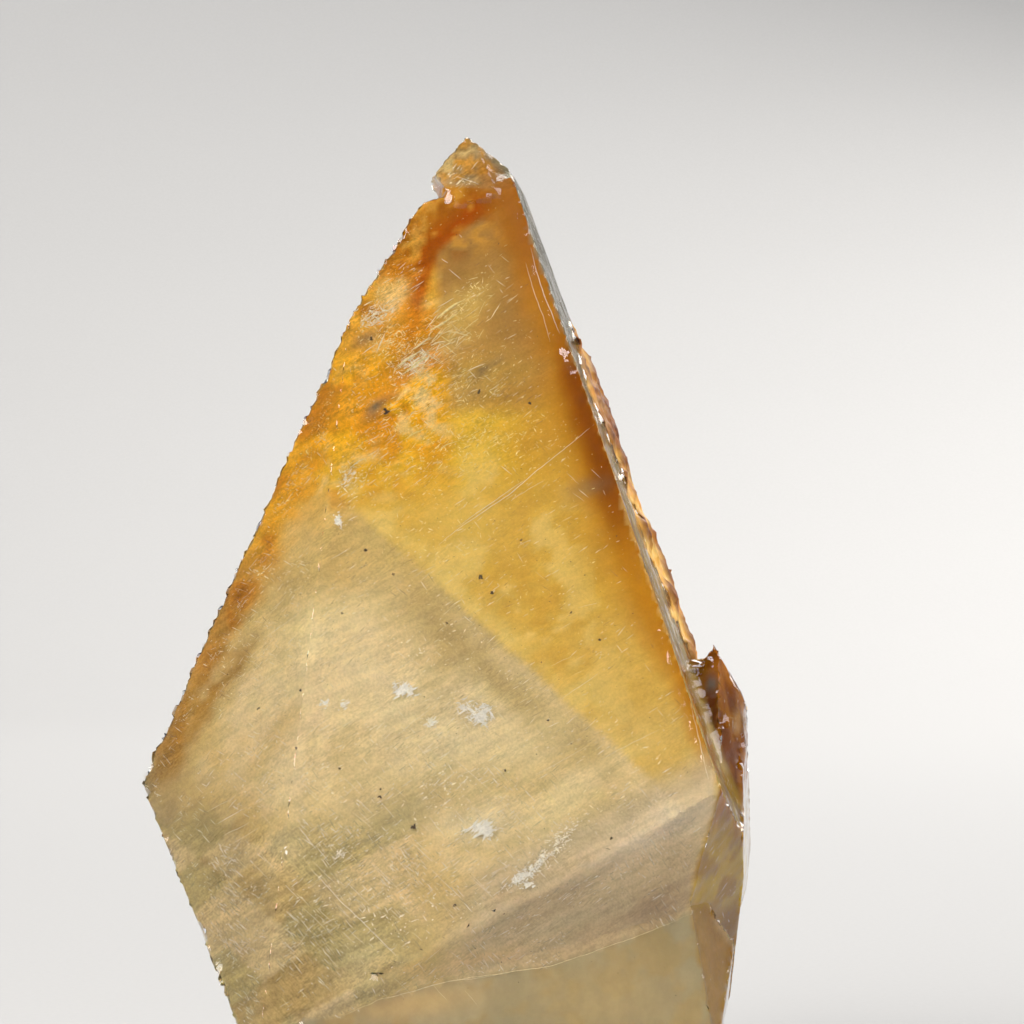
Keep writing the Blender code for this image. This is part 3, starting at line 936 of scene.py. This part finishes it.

# white feathery flecks, and golden glitter whose pale gold stands in for glints (painted
# glints over real flaws): centre, radii, turn, how many, size, how white
WHITE = srgb(255, 250, 238)
PALE_GOLD = srgb(255, 220, 112)
SWARMS = [
    # the big white bursts of the middle
    (336, 520, 9, 7, 20, 70, 0.20, 1.0), (405, 690, 13, 11, 0, 110, 0.24, 1.0),
    (476, 714, 19, 13, 15, 200, 0.28, 1.0), (325, 703, 4, 7, 60, 30, 0.2, 1.0),
    (343, 704, 4, 6, 40, 30, 0.2, 1.0), (430, 722, 8, 6, 30, 45, 0.2, 0.9),
    (480, 829, 17, 12, 25, 150, 0.26, 1.0), (531, 884, 7, 5, 10, 40, 0.2, 1.0),
    (285, 850, 7, 5, 20, 40, 0.22, 0.9), (340, 855, 6, 4, 35, 26, 0.2, 0.9),
    (550, 850, 42, 10, -46, 260, 0.16, 0.85),
    (536, 866, 30, 6, -40, 120, 0.14, 1.0),
    (520, 878, 18, 7, -30, 80, 0.22, 1.0),
    (380, 905, 100, 46, 10, 260, 0.15, 0.8),
    (445, 800, 60, 40, -30, 150, 0.14, 0.75),
    (420, 640, 90, 50, 0, 170, 0.13, 0.7),
    (300, 780, 70, 50, 0, 150, 0.14, 0.75),
    (352, 476, 12, 9, -30, 70, 0.22, 0.8),
    (262, 575, 26, 16, -50, 60, 0.16, 0.6),
    (240, 680, 40, 30, -50, 90, 0.15, 0.6),
    (600, 800, 60, 22, -25, 60, 0.14, 0.6),
    (640, 742, 60, 10, 40, 36, 0.16, 0.6),
    # golden glitter: painted glints, pale gold splinters in place of light glinting off
    # inner cleavages
    (452, 446, 92, 26, -12, 620, 0.22, 0.35),
    (400, 410, 60, 45, -30, 420, 0.22, 0.4),
    (470, 380, 60, 44, -20, 380, 0.18, 0.45),
    (520, 450, 60, 60, 0, 260, 0.15, 0.4),
    (430, 520, 90, 50, 20, 300, 0.15, 0.45),
    (350, 480, 22, 16, -30, 140, 0.20, 0.6),
    (376, 316, 22, 12, -20, 230, 0.24, 0.75),
    (416, 362, 26, 10, -30, 200, 0.26, 0.75),
    (352, 322, 7, 24, 18, 140, 0.20, 0.7),
    (560, 560, 80, 90, 40, 160, 0.12, 0.3),
    # cream feathers of the upper left
    (352, 328, 12, 24, 20, 260, 0.22, 0.5),
    (372, 290, 18, 40, 30, 340, 0.17, 0.4),
    (392, 345, 26, 20, -20, 420, 0.20, 0.45),
    (338, 385, 14, 40, 20, 240, 0.16, 0.3),
    (398, 238, 12, 30, 30, 150, 0.14, 0.3),
    (318, 440, 16, 40, 25, 180, 0.15, 0.35),
    (286, 500, 16, 50, 25, 160, 0.14, 0.3),
    (470, 296, 34, 10, -52, 150, 0.24, 0.4),
    (430, 330, 40, 12, -35, 160, 0.30, 0.4),
    (470, 205, 34, 12, -20, 60, 0.12, 0.2),
    # the tip block
    (447, 168, 10, 12, 0, 70, 0.22, 0.8), (462, 182, 24, 4, -10, 40, 0.2, 0.7),
    (478, 152, 8, 8, 0, 30, 0.18, 0.8), (500, 176, 10, 6, -40, 24, 0.16, 0.8),
    # beside the side crystal, on it, and under the girdle
    (694, 716, 5, 6, 0, 24, 0.2, 0.8), (716, 700, 5, 26, 0, 36, 0.16, 0.4),
    (735, 722, 6, 8, 0, 26, 0.18, 0.3), (676, 640, 10, 60, -18, 60, 0.15, 0.3),
]
rng = np.random.default_rng(23)
rows = []
for x, y, rx, ry, turn, count, length, white in SWARMS:
    c, s_ = cos(radians(turn)), sin(radians(turn))
    clumps = rng.normal(0, 0.55, (6, 2))
    for _ in range(count):
        a, b = rng.normal(0, 0.62, 2)
        if white > 0.95 and rng.random() < 0.75:
            a, b = clumps[rng.integers(6)] * np.array([1.0, 0.8]) \
                + rng.normal(0, 0.17, 2)
        px, py = x + a * rx * c - b * ry * s_, y + a * rx * s_ + b * ry * c
        hit, i = behind(px, py)
        if hit is None or edge[i] < 0.9:
            continue
        core = float(np.exp(-(a * a + b * b) * 0.8))
        rows.append((*hit, i, core, length, white))
for x, y, r, count in ((336, 520, 6, 12), (405, 690, 9, 20), (476, 714, 12, 30),
                       (480, 829, 10, 26), (520, 878, 8, 8),
                       (283, 850, 3, 4), (325, 703, 2, 3), (343, 704, 2, 3),
                       (531, 884, 3, 4), (430, 722, 4, 5), (694, 717, 3, 5)):
    clumps = rng.normal(0, 0.5 * r, (4, 2))
    for _ in range(count):
        hit, i = behind(*(np.array([x, y]) + clumps[rng.integers(4)]
                          + rng.normal(0, 0.2 * r, 2)))
        rows.append((*hit, i, 1.0, 0.20, 1.15))
rows = np.array(rows)
at, i = rows[:, :3], rows[:, 3].astype(int)
core, length, white = rows[:, 4], rows[:, 5], rows[:, 6]
kind = rng.choice(3, len(i), p=(0.30, 0.35, 0.35))
al = lie(i, rng, kind, np.full(len(i), 16.0))
size = np.stack([length * (0.25 + 3.0 * rng.random(len(i)) ** 3)
                 * (0.5 + 0.8 * core * white),
                 (0.022 + 0.100 * rng.random(len(i)) ** 1.8)
                 * (0.4 + 1.5 * core * white ** 2),
                 np.full(len(i), 0.022)], 1)
at = sunk(at, i, rng.uniform(0.12, 0.27, len(i)))
tip_ = rng.normal(0, 0.07, (len(i), 1))
al = al + nor[i] * tip_
al /= np.linalg.norm(al, axis=1)[:, None]
white = np.minimum(white, 1.0) ** 2.2
tone = PALE_GOLD * (1 - white[:, None]) + WHITE * white[:, None]
tone = tone * (0.75 + 0.35 * rng.random((len(i), 1))) \
    * (0.8 + 0.3 * core[:, None])
flecks = splinters("fleck_and_glint_flecks", at, al, nor[i], size,
                   paler(np.clip(tone, 0, 1.15)), rng)

# dark specks and lint
SPECKS = [(365, 550, 1.6), (480, 577, 1.8), (492, 593, 1.5), (413, 827, 2.2),
          (380, 797, 1.6), (381, 789, 1.0), (371, 338, 1.6), (386, 411, 2.2),
          (479, 392, 1.6), (530, 403, 1.2), (447, 623, 1.0), (521, 540, 1.0),
          (393, 574, 1.0), (600, 640, 1.1), (571, 612, 0.9), (342, 613, 1.0),
          (300, 690, 1.1), (612, 838, 1.2), (455, 905, 1.3), (340, 768, 1.0),
          (296, 748, 1.0), (258, 708, 1.3), (505, 770, 1.0), (548, 720, 0.9)]
rng = np.random.default_rng(31)
rows = []
for x, y, r in SPECKS:
    for _ in range(5):
        hit, i = behind(*(np.array([x, y]) + rng.normal(0, 0.5 * r, 2)))
        rows.append((*hit, i, r))
for _ in range(420):
    x, y = rng.uniform(180, 700), rng.uniform(200, 1000)
    hit, i = behind(x, y)
    if hit is not None and edge[i] > 1.2:
        rows.append((*hit, i, 0.35 + 0.5 * rng.random() ** 3))
rows = np.array(rows)
i = rows[:, 3].astype(int)
al = lie(i, rng, rng.choice(3, len(i)), np.full(len(i), 50.0))
size = np.stack([rows[:, 4] * 0.12 * (0.6 + 0.8 * rng.random(len(i))),
                 rows[:, 4] * 0.075 * (0.6 + 0.8 * rng.random(len(i))),
                 np.full(len(i), 0.03)], 1)
at = sunk(rows[:, :3], i, np.full(len(i), 0.10))
specks = splinters("dark_specks", at, al, nor[i], size,
                   np.repeat(srgb(64, 46, 24)[None], len(i), 0)
                   * (0.5 + rng.random((len(i), 1))), rng)

# cracks, and pale lines along the foot's ledge and the right ridge that are painted
# highlights: fine tapering lines laid through places of the layout map, with half width in
# mm and how white
LINES = [
    ([(437, 546), (465, 525), (500, 500), (546, 464), (597, 421)], .030, .9),
    ([(455, 528), (500, 497), (527, 478)], .026, .8),
    ([(512, 500), (546, 478)], .018, .8),
    # thick golden strokes of the feather under the crescent
    ([(396, 367), (409, 358), (421, 351)], .13, .25),
    ([(402, 374), (416, 364), (430, 356)], .10, .15),
    ([(410, 351), (421, 344), (431, 337)], .11, .30),
    ([(428, 331), (441, 325), (453, 317)], .11, .20),
    ([(436, 319), (449, 309), (463, 300)], .15, .15),
    ([(441, 324), (450, 318), (460, 311)], .10, .10),
    ([(430, 346), (438, 342), (447, 340)], .09, .35),
    ([(446, 331), (458, 333), (470, 337)], .07, .20),
    ([(424, 352), (432, 357), (441, 362)], .07, .25),
    ([(376, 353), (380, 342), (385, 331)], .09, .40),
    ([(354, 311), (363, 305), (373, 300)], .08, .45),
    ([(348, 470), (356, 462), (366, 458)], .06, .30),
    ([(404, 440), (414, 433), (425, 428)], .06, .05),
    ([(436, 452), (446, 444), (458, 440)], .06, .05),
    ([(466, 372), (476, 366), (486, 362)], .05, .60),
    ([(361, 355), (378, 343)], .030, .9), ([(400, 362), (425, 348)], .035, 1.),
    ([(425, 330), (440, 312)], .030, .9), ([(437, 307), (455, 298)], .030, .9),
    ([(448, 268), (462, 279)], .028, .9), ([(441, 258), (449, 262)], .03, .9),
    ([(530, 240), (536, 270), (548, 305), (560, 335)], .050, .9),
    ([(526, 262), (534, 290), (545, 318), (552, 342)], .030, .6),
    ([(540, 268), (552, 305), (560, 322)], .024, .7),
    ([(516, 186), (521, 205), (528, 235)], .024, .5),
    ([(566, 472), (580, 484)], .018, .6), ([(590, 468), (601, 478)], .02, .8),
    ([(572, 492), (585, 502)], .016, .5), ([(612, 470), (617, 486)], .03, .8),
    ([(308, 865), (336, 896), (368, 930), (400, 960)], .034, .9),
    ([(312, 860), (338, 886)], .020, .7), ([(298, 826), (310, 840)], .03, .9),
    ([(306, 836), (318, 850)], .026, .8), ([(316, 846), (330, 862)], .03, .9),
    ([(324, 858), (332, 870)], .024, .8), ([(338, 842), (352, 856)], .02, .7),
    ([(215, 825), (245, 808)], .030, .9), ([(222, 836), (250, 820)], .022, .8),
    ([(205, 812), (232, 798)], .020, .7), ([(228, 846), (262, 826)], .018, .7),
    ([(262, 640), (300, 612)], .018, .5), ([(240, 700), (300, 656)], .016, .5),
    ([(410, 955), (440, 930)], .020, .8), ([(425, 962), (452, 940)], .02, .7),
    ([(300, 905), (336, 940)], .018, .7), ([(344, 880), (372, 908)], .02, .8),
    ([(372, 862), (400, 890)], .020, .7), ([(390, 850), (420, 884)], .02, .6),
    ([(430, 868), (452, 890)], .018, .7), ([(470, 872), (496, 900)], .018, .6),
    ([(500, 800), (540, 840)], .018, .6), ([(452, 756), (492, 792)], .02, .6),
    ([(392, 740), (440, 700)], .018, .6), ([(560, 700), (600, 672)], .02, .6),
    ([(536, 776), (590, 744)], .016, .5), ([(600, 760), (660, 728)], .02, .6),
    ([(280, 880), (300, 900)], .022, .8), ([(252, 862), (270, 880)], .02, .6),
    ([(330, 560), (352, 546)], .020, .7), ([(300, 740), (330, 716)], .02, .6),
    ([(344, 318), (349, 346), (350, 374)], .026, .6),
    ([(442, 160), (452, 178)], .034, .8), ([(455, 176), (480, 184)], .03, .8),
    ([(470, 170), (488, 150)], .030, .7), ([(486, 182), (508, 172)], .03, .8),
    # painted highlight: pale lines along the edge of the foot's ledge
    (LEDGE, .034, .35),
    ([(380, 1001), (440, 984), (510, 974)], .020, .5),
    ([(718, 800), (704, 850), (690, 880)], .026, .5),
    # painted highlight: pale lines along the right ridge
    ([(516, 172), (540, 240), (566, 318), (596, 410)], .040, .7),
    ([(600, 424), (628, 500), (660, 596), (690, 690)], .034, .6),
    ([(690, 700), (700, 745), (712, 800)], .040, .5),
    ([(686, 670), (696, 715), (706, 770)], .026, .5),
    ([(702, 690), (714, 745), (722, 786)], .034, .6),
]


_r = np.random.default_rng(59)
for _ in range(150):
    x, y = _r.uniform(190, 480), _r.uniform(770, 1000)
    if x < 150 + (y - 780) * 0.45 + 20:
        continue
    size_, a = 6 + 26 * _r.random() ** 2, radians(_r.normal(45, 4))
    LINES.append(([(x, y), (x + size_ * cos(a), y + size_ * sin(a))],
                  0.012 + 0.014 * _r.random(), 0.3 + 0.6 * _r.random()))
for _ in range(60):
    x, y = _r.uniform(170, 700), _r.uniform(560, 900)
    size_, a = 5 + 22 * _r.random() ** 2, radians(_r.normal(-33, 5))
    LINES.append(([(x, y), (x + size_ * cos(a), y + size_ * sin(a))],
                  0.012 + 0.012 * _r.random(), 0.2 + 0.6 * _r.random()))
for _ in range(80):
    a, b = _r.normal(0, 0.55, 2)
    x, y = 446 + 58 * a - 10 * b, 336 - 34 * a + 30 * b
    size_ = 4 + 20 * _r.random() ** 2
    a = radians(_r.choice([-38, -38, -24, -60, 38]) + _r.normal(0, 5))
    LINES.append(([(x, y), (x + size_ * cos(a), y + size_ * sin(a))],
                  0.018 + 0.034 * _r.random() ** 2, 0.1 + 0.3 * _r.random()))


def tube(path, half, n_at):
    """A closed, four-sided line, thickest in the middle, pointed at ends."""
    path = np.array(path)
    t = np.gradient(path, axis=0)
    t /= np.linalg.norm(t, axis=1)[:, None]
    b = np.cross(n_at, t)
    b /= np.linalg.norm(b, axis=1)[:, None]
    m = len(path)
    w = half * np.sin(np.linspace(0, pi, m)) ** 0.6
    w = w[1:-1, None]
    mid = path[1:-1]
    ring = np.stack([mid + b[1:-1] * w, mid + n_at[1:-1] * w * 0.6,
                     mid - b[1:-1] * w, mid - n_at[1:-1] * w * 0.6], 1)
    v = np.concatenate([path[:1], ring.reshape(-1, 3), path[-1:]])
    f, last = [], len(v) - 1
    for k in range(4):
        j = (k + 1) % 4
        f.append((0, 1 + j, 1 + k))
        for r in range(m - 3):
            a, c_ = 1 + r * 4, 5 + r * 4
            f.append((a + k, a + j, c_ + j, c_ + k))
        f.append((last, last - 4 + k, last - 4 + j))
    return v, f


rng = np.random.default_rng(47)
allv, allf, allc = [], [], []
for pts, half, white in LINES:
    pts = np.array(pts, float)
    leg = np.concatenate([[0], np.cumsum(np.linalg.norm(
        np.diff(pts, axis=0), axis=1))])
    steps = max(5, int(leg[-1] / 3.5))
    q = np.linspace(0, leg[-1], steps)
    px = np.interp(q, leg, pts[:, 0]) + np.cumsum(rng.normal(0, .22, steps))
    py = np.interp(q, leg, pts[:, 1]) + np.cumsum(rng.normal(0, .22, steps))
    got = [behind(a, b) for a, b in zip(px, py)]
    got = [g for g in got if g[0] is not None and
           (half > 0.027 or edge[g[1]] > 1.0)]
    if got:
        ns = nor[np.array([g[1] for g in got])]
        mid = ns.sum(0) / np.linalg.norm(ns.sum(0))
        got = [g for g, same in zip(got, ns @ mid > 0.93) if same]
    if len(got) < 5:
        continue
    i = np.array([g[1] for g in got])
    hit = sunk(np.array([g[0] for g in got]), i, np.full(len(i), 0.12))
    v, f = tube(hit, half, inward[i])
    base_ = sum(len(x) for x in allv)
    allv.append(v)
    allf += [tuple(a + base_ for a in face) for face in f]
    tone = (PALE_GOLD * (1 - white) + WHITE * white) * (0.85 + 0.2 * white)
    allc.append(np.repeat(paler(np.clip(tone, 0, 1.15))[None], len(v), 0))
lines = flaw_object("fissure_and_highlight_lines", np.concatenate(allv), allf,
                    np.concatenate(allc))


# ------------------------------------------------------------------ materials
class Nodes:
    def __init__(self, name):
        self.mat = bpy.data.materials.new(name)
        self.mat.use_nodes = True
        self.t = self.mat.node_tree
        self.bsdf = self.t.nodes["Principled BSDF"]
        self.out = self.t.nodes["Material Output"]

    def new(self, kind, **props):
        n = self.t.nodes.new(kind)
        for k, v in props.items():
            setattr(n, k, v)
        return n

    def link(self, a, b):
        self.t.links.new(a, b)

    def value(self, sock, v):
        if hasattr(v, "is_output"):
            self.link(v, sock)
        else:
            sock.default_value = v

    def math(self, op, a, b=0.0, c=None, clamp=False):
        n = self.new("ShaderNodeMath", operation=op, use_clamp=clamp)
        self.value(n.inputs[0], a)
        self.value(n.inputs[1], b)
        if c is not None:
            self.value(n.inputs[2], c)
        return n.outputs[0]

    def vec(self, op, a, b=(0, 0, 0)):
        n = self.new("ShaderNodeVectorMath", operation=op)
        self.value(n.inputs[0], a)
        if op != "SCALE":
            self.value(n.inputs[1], b)
        else:
            self.value(n.inputs["Scale"], b)
        return n.outputs["Value"] if op == "DOT_PRODUCT" else n.outputs[0]

    def mapping(self, src, scale=(1, 1, 1), rot=(0, 0, 0), loc=(0, 0, 0)):
        n = self.new("ShaderNodeMapping")
        self.link(src, n.inputs["Vector"])
        n.inputs["Scale"].default_value = scale
        n.inputs["Rotation"].default_value = rot
        n.inputs["Location"].default_value = loc
        return n.outputs[0]

    def noise(self, vec, scale, detail=4.0, rough=0.55, dist=0.0):
        n = self.new("ShaderNodeTexNoise")
        self.link(vec, n.inputs["Vector"])
        n.inputs["Scale"].default_value = scale
        n.inputs["Detail"].default_value = detail
        n.inputs["Roughness"].default_value = rough
        n.inputs["Distortion"].default_value = dist
        return n.outputs["Fac"]

    def voronoi(self, vec, scale, feature="F1", out="Distance"):
        n = self.new("ShaderNodeTexVoronoi", feature=feature)
        self.link(vec, n.inputs["Vector"])
        n.inputs["Scale"].default_value = scale
        return n.outputs[out]

    def fit(self, v, a, b, lo=0.0, hi=1.0):
        n = self.new("ShaderNodeMapRange", interpolation_type="SMOOTHSTEP")
        self.value(n.inputs["Value"], v)
        n.inputs["From Min"].default_value = a
        n.inputs["From Max"].default_value = b
        n.inputs["To Min"].default_value = lo
        n.inputs["To Max"].default_value = hi
        return n.outputs[0]

    def mix(self, f, a, b, kind="MIX"):
        n = self.new("ShaderNodeMix", data_type="RGBA", blend_type=kind)
        self.value(n.inputs[0], f)
        self.value(n.inputs[6], a)
        self.value(n.inputs[7], b)
        return n.outputs[2]

    def attr(self, name, out="Color"):
        n = self.new("ShaderNodeAttribute", attribute_name=name)
        return n.outputs[out]

    def split(self, v):
        n = self.new("ShaderNodeSeparateXYZ")
        self.link(v, n.inputs[0])
        return n.outputs[0], n.outputs[1], n.outputs[2]

    def mm(self):
        n = self.new("ShaderNodeTexCoord")
        return self.vec("SCALE", n.outputs["Object"], 1000.0)

    def bump(self, height, dist, strength=1.0, chain=None):
        n = self.new("ShaderNodeBump")
        n.inputs["Strength"].default_value = strength
        n.inputs["Distance"].default_value = dist
        self.link(height, n.inputs["Height"])
        if chain is not None:
            self.link(chain, n.inputs["Normal"])
        return n.outputs[0]


def streaks(m, p, turn, length, width, seed):
    """Threads lying at this turn from the horizontal, seen from the front."""
    q = m.mapping(p, rot=(0, radians(turn), 0), loc=(seed, seed, seed))
    return m.noise(m.mapping(q, scale=(1 / length, 1 / (2 * width),
                                       1 / width)), 1.0, 2, 0.5, 0.0)


def clear_material():
    m = Nodes("clear_calcite")
    p = m.mm()
    fine = m.noise(p, 1.1, 3, 0.7)
    b = m.bsdf.inputs
    b["Base Color"].default_value = (1.0, 0.985, 0.95, 1)
    b["IOR"].default_value = 1.5
    b["Transmission Weight"].default_value = 1.0
    rough = m.fit(m.noise(p, 0.35, 2, 0.6), 0.35, 0.7, 0.04, 0.16)
    m.link(rough, b["Roughness"])
    n = m.bump(fine, 0.00004, 0.5)
    n = m.bump(streaks(m, p, 33, 3.0, 0.5, 3), 0.00006, 0.5, n)
    m.link(n, b["Normal"])
    vol = m.new("ShaderNodeVolumeAbsorption")
    vol.inputs["Color"].default_value = (0.97, 0.84, 0.52, 1)
    vol.inputs["Density"].default_value = 30.0
    m.link(vol.outputs[0], m.out.inputs["Volume"])
    return m.mat


def cloud_material():
    m = Nodes("sealed_cloud")
    p = m.mm()
    tone = m.attr("tone")
    x, y, z = m.split(p)
    grain = m.attr("tone", "Alpha")
    # two sets of cleavage threads that come and go, and grain between them
    rise = streaks(m, p, 36, 1.1, 0.15, 1)
    rise2 = streaks(m, p, 27, 7.0, 0.9, 4)
    fall = streaks(m, p, -50, 2.0, 0.17, 7)
    dust = m.noise(p, 3.2, 2, 0.7)
    soft = m.noise(p, 0.5, 2, 0.6)
    where = m.fit(m.noise(m.mapping(p, loc=(9, 2, 5)), 0.24, 2, 0.6),
                  0.42, 0.60, 0.0, 1.0)
    where2 = m.fit(m.noise(m.mapping(p, loc=(1, 7, 3)), 0.2, 2, 0.6),
                   0.48, 0.62, 0.0, 1.0)
    low = m.fit(z, 48, 34, 0.1, 1.0)
    k = m.math("MULTIPLY", m.fit(rise, 0.36, 0.64, -0.15, 0.19),
               m.math("MULTIPLY", grain, where))
    k = m.math("ADD", k, m.math("MULTIPLY", m.fit(rise2, 0.34, 0.66, -0.15,
                                                  0.16), grain))
    k = m.math("ADD", k, m.math(
        "MULTIPLY", m.fit(fall, 0.36, 0.66, -0.10, 0.15),
        m.math("MULTIPLY", m.math("MULTIPLY", where2, low), grain)))
    k = m.math("ADD", k, m.math("MULTIPLY", m.fit(dust, 0.32, 0.68, -0.13, 0.15),
                                m.math("ADD", 0.12, grain)))
    k = m.math("ADD", k, m.fit(soft, 0.30, 0.70, -0.05, 0.05))
    k = m.math("ADD", k, 1.0)
    c = m.mix(1.0, tone, m.vec("SCALE", (1, 1, 1), k), "MULTIPLY")
    m.link(c, m.bsdf.inputs["Base Color"])
    b = m.bsdf.inputs
    b["Roughness"].default_value = 0.5
    b["Specular IOR Level"].default_value = 0.0
    b["Subsurface Weight"].default_value = 0.4
    b["Subsurface Radius"].default_value = (1.0, 0.7, 0.35)
    b["Subsurface Scale"].default_value = 0.0005
    return m.mat


def flaw_material(name, gloss, low, high):
    """Sealed flaws keep their own tone, mottled along their length; it also dresses the
    painted glints of the golden glitter and the painted highlights along the ledge and
    ridge.
    """
    m = Nodes(name)
    p = m.mm()
    k = m.fit(m.noise(p, 2.4, 4, 0.65), 0.3, 0.7, low, high)
    c = m.mix(1.0, m.attr("tone"), m.vec("SCALE", (1, 1, 1), k), "MULTIPLY")
    m.link(c, m.bsdf.inputs["Base Color"])
    rough = m.fit(m.noise(p, 1.3, 3, 0.5), 0.3, 0.7, gloss, gloss + 0.25)
    m.link(rough, m.bsdf.inputs["Roughness"])
    m.bsdf.inputs["Specular IOR Level"].default_value = 0.4
    return m.mat


mesh.materials.clear()
mesh.materials.append(clear_material())
silk.data.materials.append(flaw_material("silk", 0.4, 0.85, 1.1))
flecks.data.materials.append(flaw_material("fleck_and_glint", 0.3, 0.9, 1.1))
specks.data.materials.append(flaw_material("speck", 0.5, 0.7, 1.2))
lines.data.materials.append(flaw_material("fissure_and_highlight", 0.3, 0.75, 1.1))


def crust_material(name, gloss, coat, bumps):
    """Stained outer stone: mottled, bumpy, shining on its high places."""
    m = Nodes(name)
    p = m.mm()
    k = m.math("ADD", m.fit(m.noise(p, 1.6, 5, 0.65), 0.3, 0.7, 0.90, 1.08),
               m.fit(m.noise(m.mapping(p, scale=(2.2, 1.4, 0.3)), 1.0, 4, 0.6),
                     0.35, 0.65, -0.06, 0.06))
    c = m.mix(1.0, m.attr("tone"), m.vec("SCALE", (1, 1, 1), k), "MULTIPLY")
    m.link(c, m.bsdf.inputs["Base Color"])
    b = m.bsdf.inputs
    m.link(m.fit(m.noise(p, 0.9, 4, 0.6), 0.3, 0.7, gloss, gloss + 0.25),
           b["Roughness"])
    n = m.bump(m.noise(m.mapping(p, scale=(1.6, 1.6, 0.5)), 1.0, 5, 0.65),
               bumps, 0.8)
    m.link(n, b["Normal"])
    b["Coat Weight"].default_value = coat
    b["Coat Roughness"].default_value = 0.12
    b["Specular IOR Level"].default_value = 0.15
    b["Subsurface Weight"].default_value = 0.5
    b["Subsurface Radius"].default_value = (1.0, 0.6, 0.25)
    b["Subsurface Scale"].default_value = 0.0006
    return m.mat


edge_crust.data.materials.append(crust_material("crust_edge", 0.45, 0.0,
                                                0.0001))
cmesh.materials.clear()
cmesh.materials.append(cloud_material())


# ---------------------------------------------------------------- the stage
def stage_material():
    m = Nodes("stage_paper")
    p = m.mm()
    c = m.mix(m.fit(m.noise(p, 0.9, 3, 0.5), 0.3, 0.7, 0.0, 1.0),
              (0.425, 0.42, 0.415, 1), (0.435, 0.43, 0.425, 1))
    x, y, _z = m.split(p)
    shade = m.math("MULTIPLY", m.fit(x, 306, 345, 0.0, 0.95),
                   m.fit(y, 1000, 1500, 0.0, 1.0))
    c = m.mix(shade, c, (0.06, 0.06, 0.062, 1))
    m.link(c, m.bsdf.inputs["Base Color"])
    m.bsdf.inputs["Roughness"].default_value = 0.9
    m.bsdf.inputs["Specular IOR Level"].default_value = 0.1
    return m.mat


def make_stage():
    """A pale paper bowl: flat floor, then a long curve up to a wall."""
    prof = [(0.0, 0.0), (0.4, 0.0), (0.8, 0.0), (1.2, 0.0)]
    for k in range(1, 13):
        a = radians(90 * k / 12)
        prof.append((1.2 + 1.0 * sin(a), 1.0 - 1.0 * cos(a)))
    prof.append((2.2, 1.1))
    bm = bmesh.new()
    seg = 96
    rings = []
    for r, z in prof:
        if r == 0:
            rings.append([bm.verts.new((0, 0, z))])
        else:
            rings.append([bm.verts.new((r * cos(2 * pi * i / seg),
                                        r * sin(2 * pi * i / seg), z))
                          for i in range(seg)])
    for a, b in zip(rings[:-1], rings[1:]):
        for i in range(seg):
            j = (i + 1) % seg
            if len(a) == 1:
                bm.faces.new((a[0], b[i], b[j]))
            else:
                bm.faces.new((a[i], b[i], b[j], a[j]))
    bmesh.ops.recalc_face_normals(bm, faces=bm.faces[:])
    me = bpy.data.meshes.new("stage_bowl")
    bm.to_mesh(me)
    bm.free()
    me.shade_smooth()
    me.materials.append(stage_material())
    ob = bpy.data.objects.new("stage_bowl", me)
    ob.location = (0, 0, -0.0002)
    bpy.context.scene.collection.objects.link(ob)


make_stage()


def area(name, loc, target, size, power, color=(1, 1, 1)):
    d = bpy.data.lights.new(name, "AREA")
    d.shape = "DISK"
    d.size = size
    d.energy = power
    d.color = color
    o = bpy.data.objects.new(name, d)
    o.location = loc
    o.rotation_euler = (Vector(target) - Vector(loc)).to_track_quat(
        "-Z", "Y").to_euler()
    bpy.context.scene.collection.objects.link(o)
    return o


area("key", (-0.75, -1.0, 0.62), (0, 0, 0.06), 1.2, 42.0, (1.0, 0.98, 0.95))
area("fill", (1.25, -0.35, 0.75), (0, 0, 0.06), 1.3, 21.0, (0.98, 0.985, 1.0))
area("back", (0.60, 1.25, 1.0), (0, 0, 0.05), 1.6, 26.0, (1.0, 0.98, 0.95))
area("wall", (0.0, 0.7, 1.5), (0, 2.2, 0.4), 0.9, 14.0)

world = bpy.data.worlds.new("soft_sky")
bpy.context.scene.world = world
world.use_nodes = True
bg = world.node_tree.nodes["Background"]
bg.inputs[0].default_value = (1.0, 1.0, 1.0, 1)
bg.inputs[1].default_value = 0.12

# ---------------------------------------------------------------- the camera
cam = bpy.data.cameras.new("camera")
cam.sensor_width = 36.0
cam.lens = 36.0 * 4980.0 / 1024.0
cam.clip_start = 0.01
cam.clip_end = 20.0
eye = bpy.data.objects.new("camera", cam)
eye.location = ((8.01 + SHIFT[0]) * MM, (-600.0 + SHIFT[1]) * MM, 73.73 * MM)
eye.rotation_euler = (radians(90), 0, 0)
bpy.context.scene.collection.objects.link(eye)
bpy.context.scene.camera = eye

sc = bpy.context.scene
sc.view_settings.view_transform = "Standard"
sc.cycles.max_bounces = 10
sc.cycles.use_light_tree = False
sc.cycles.transmission_bounces = 8
sc.cycles.transparent_max_bounces = 6
sc.cycles.diffuse_bounces = 3
sc.cycles.glossy_bounces = 4
sc.cycles.caustics_refractive = True
sc.cycles.caustics_reflective = False
sc.cycles.sample_clamp_indirect = 6.0

bpy.context.view_layer.update()
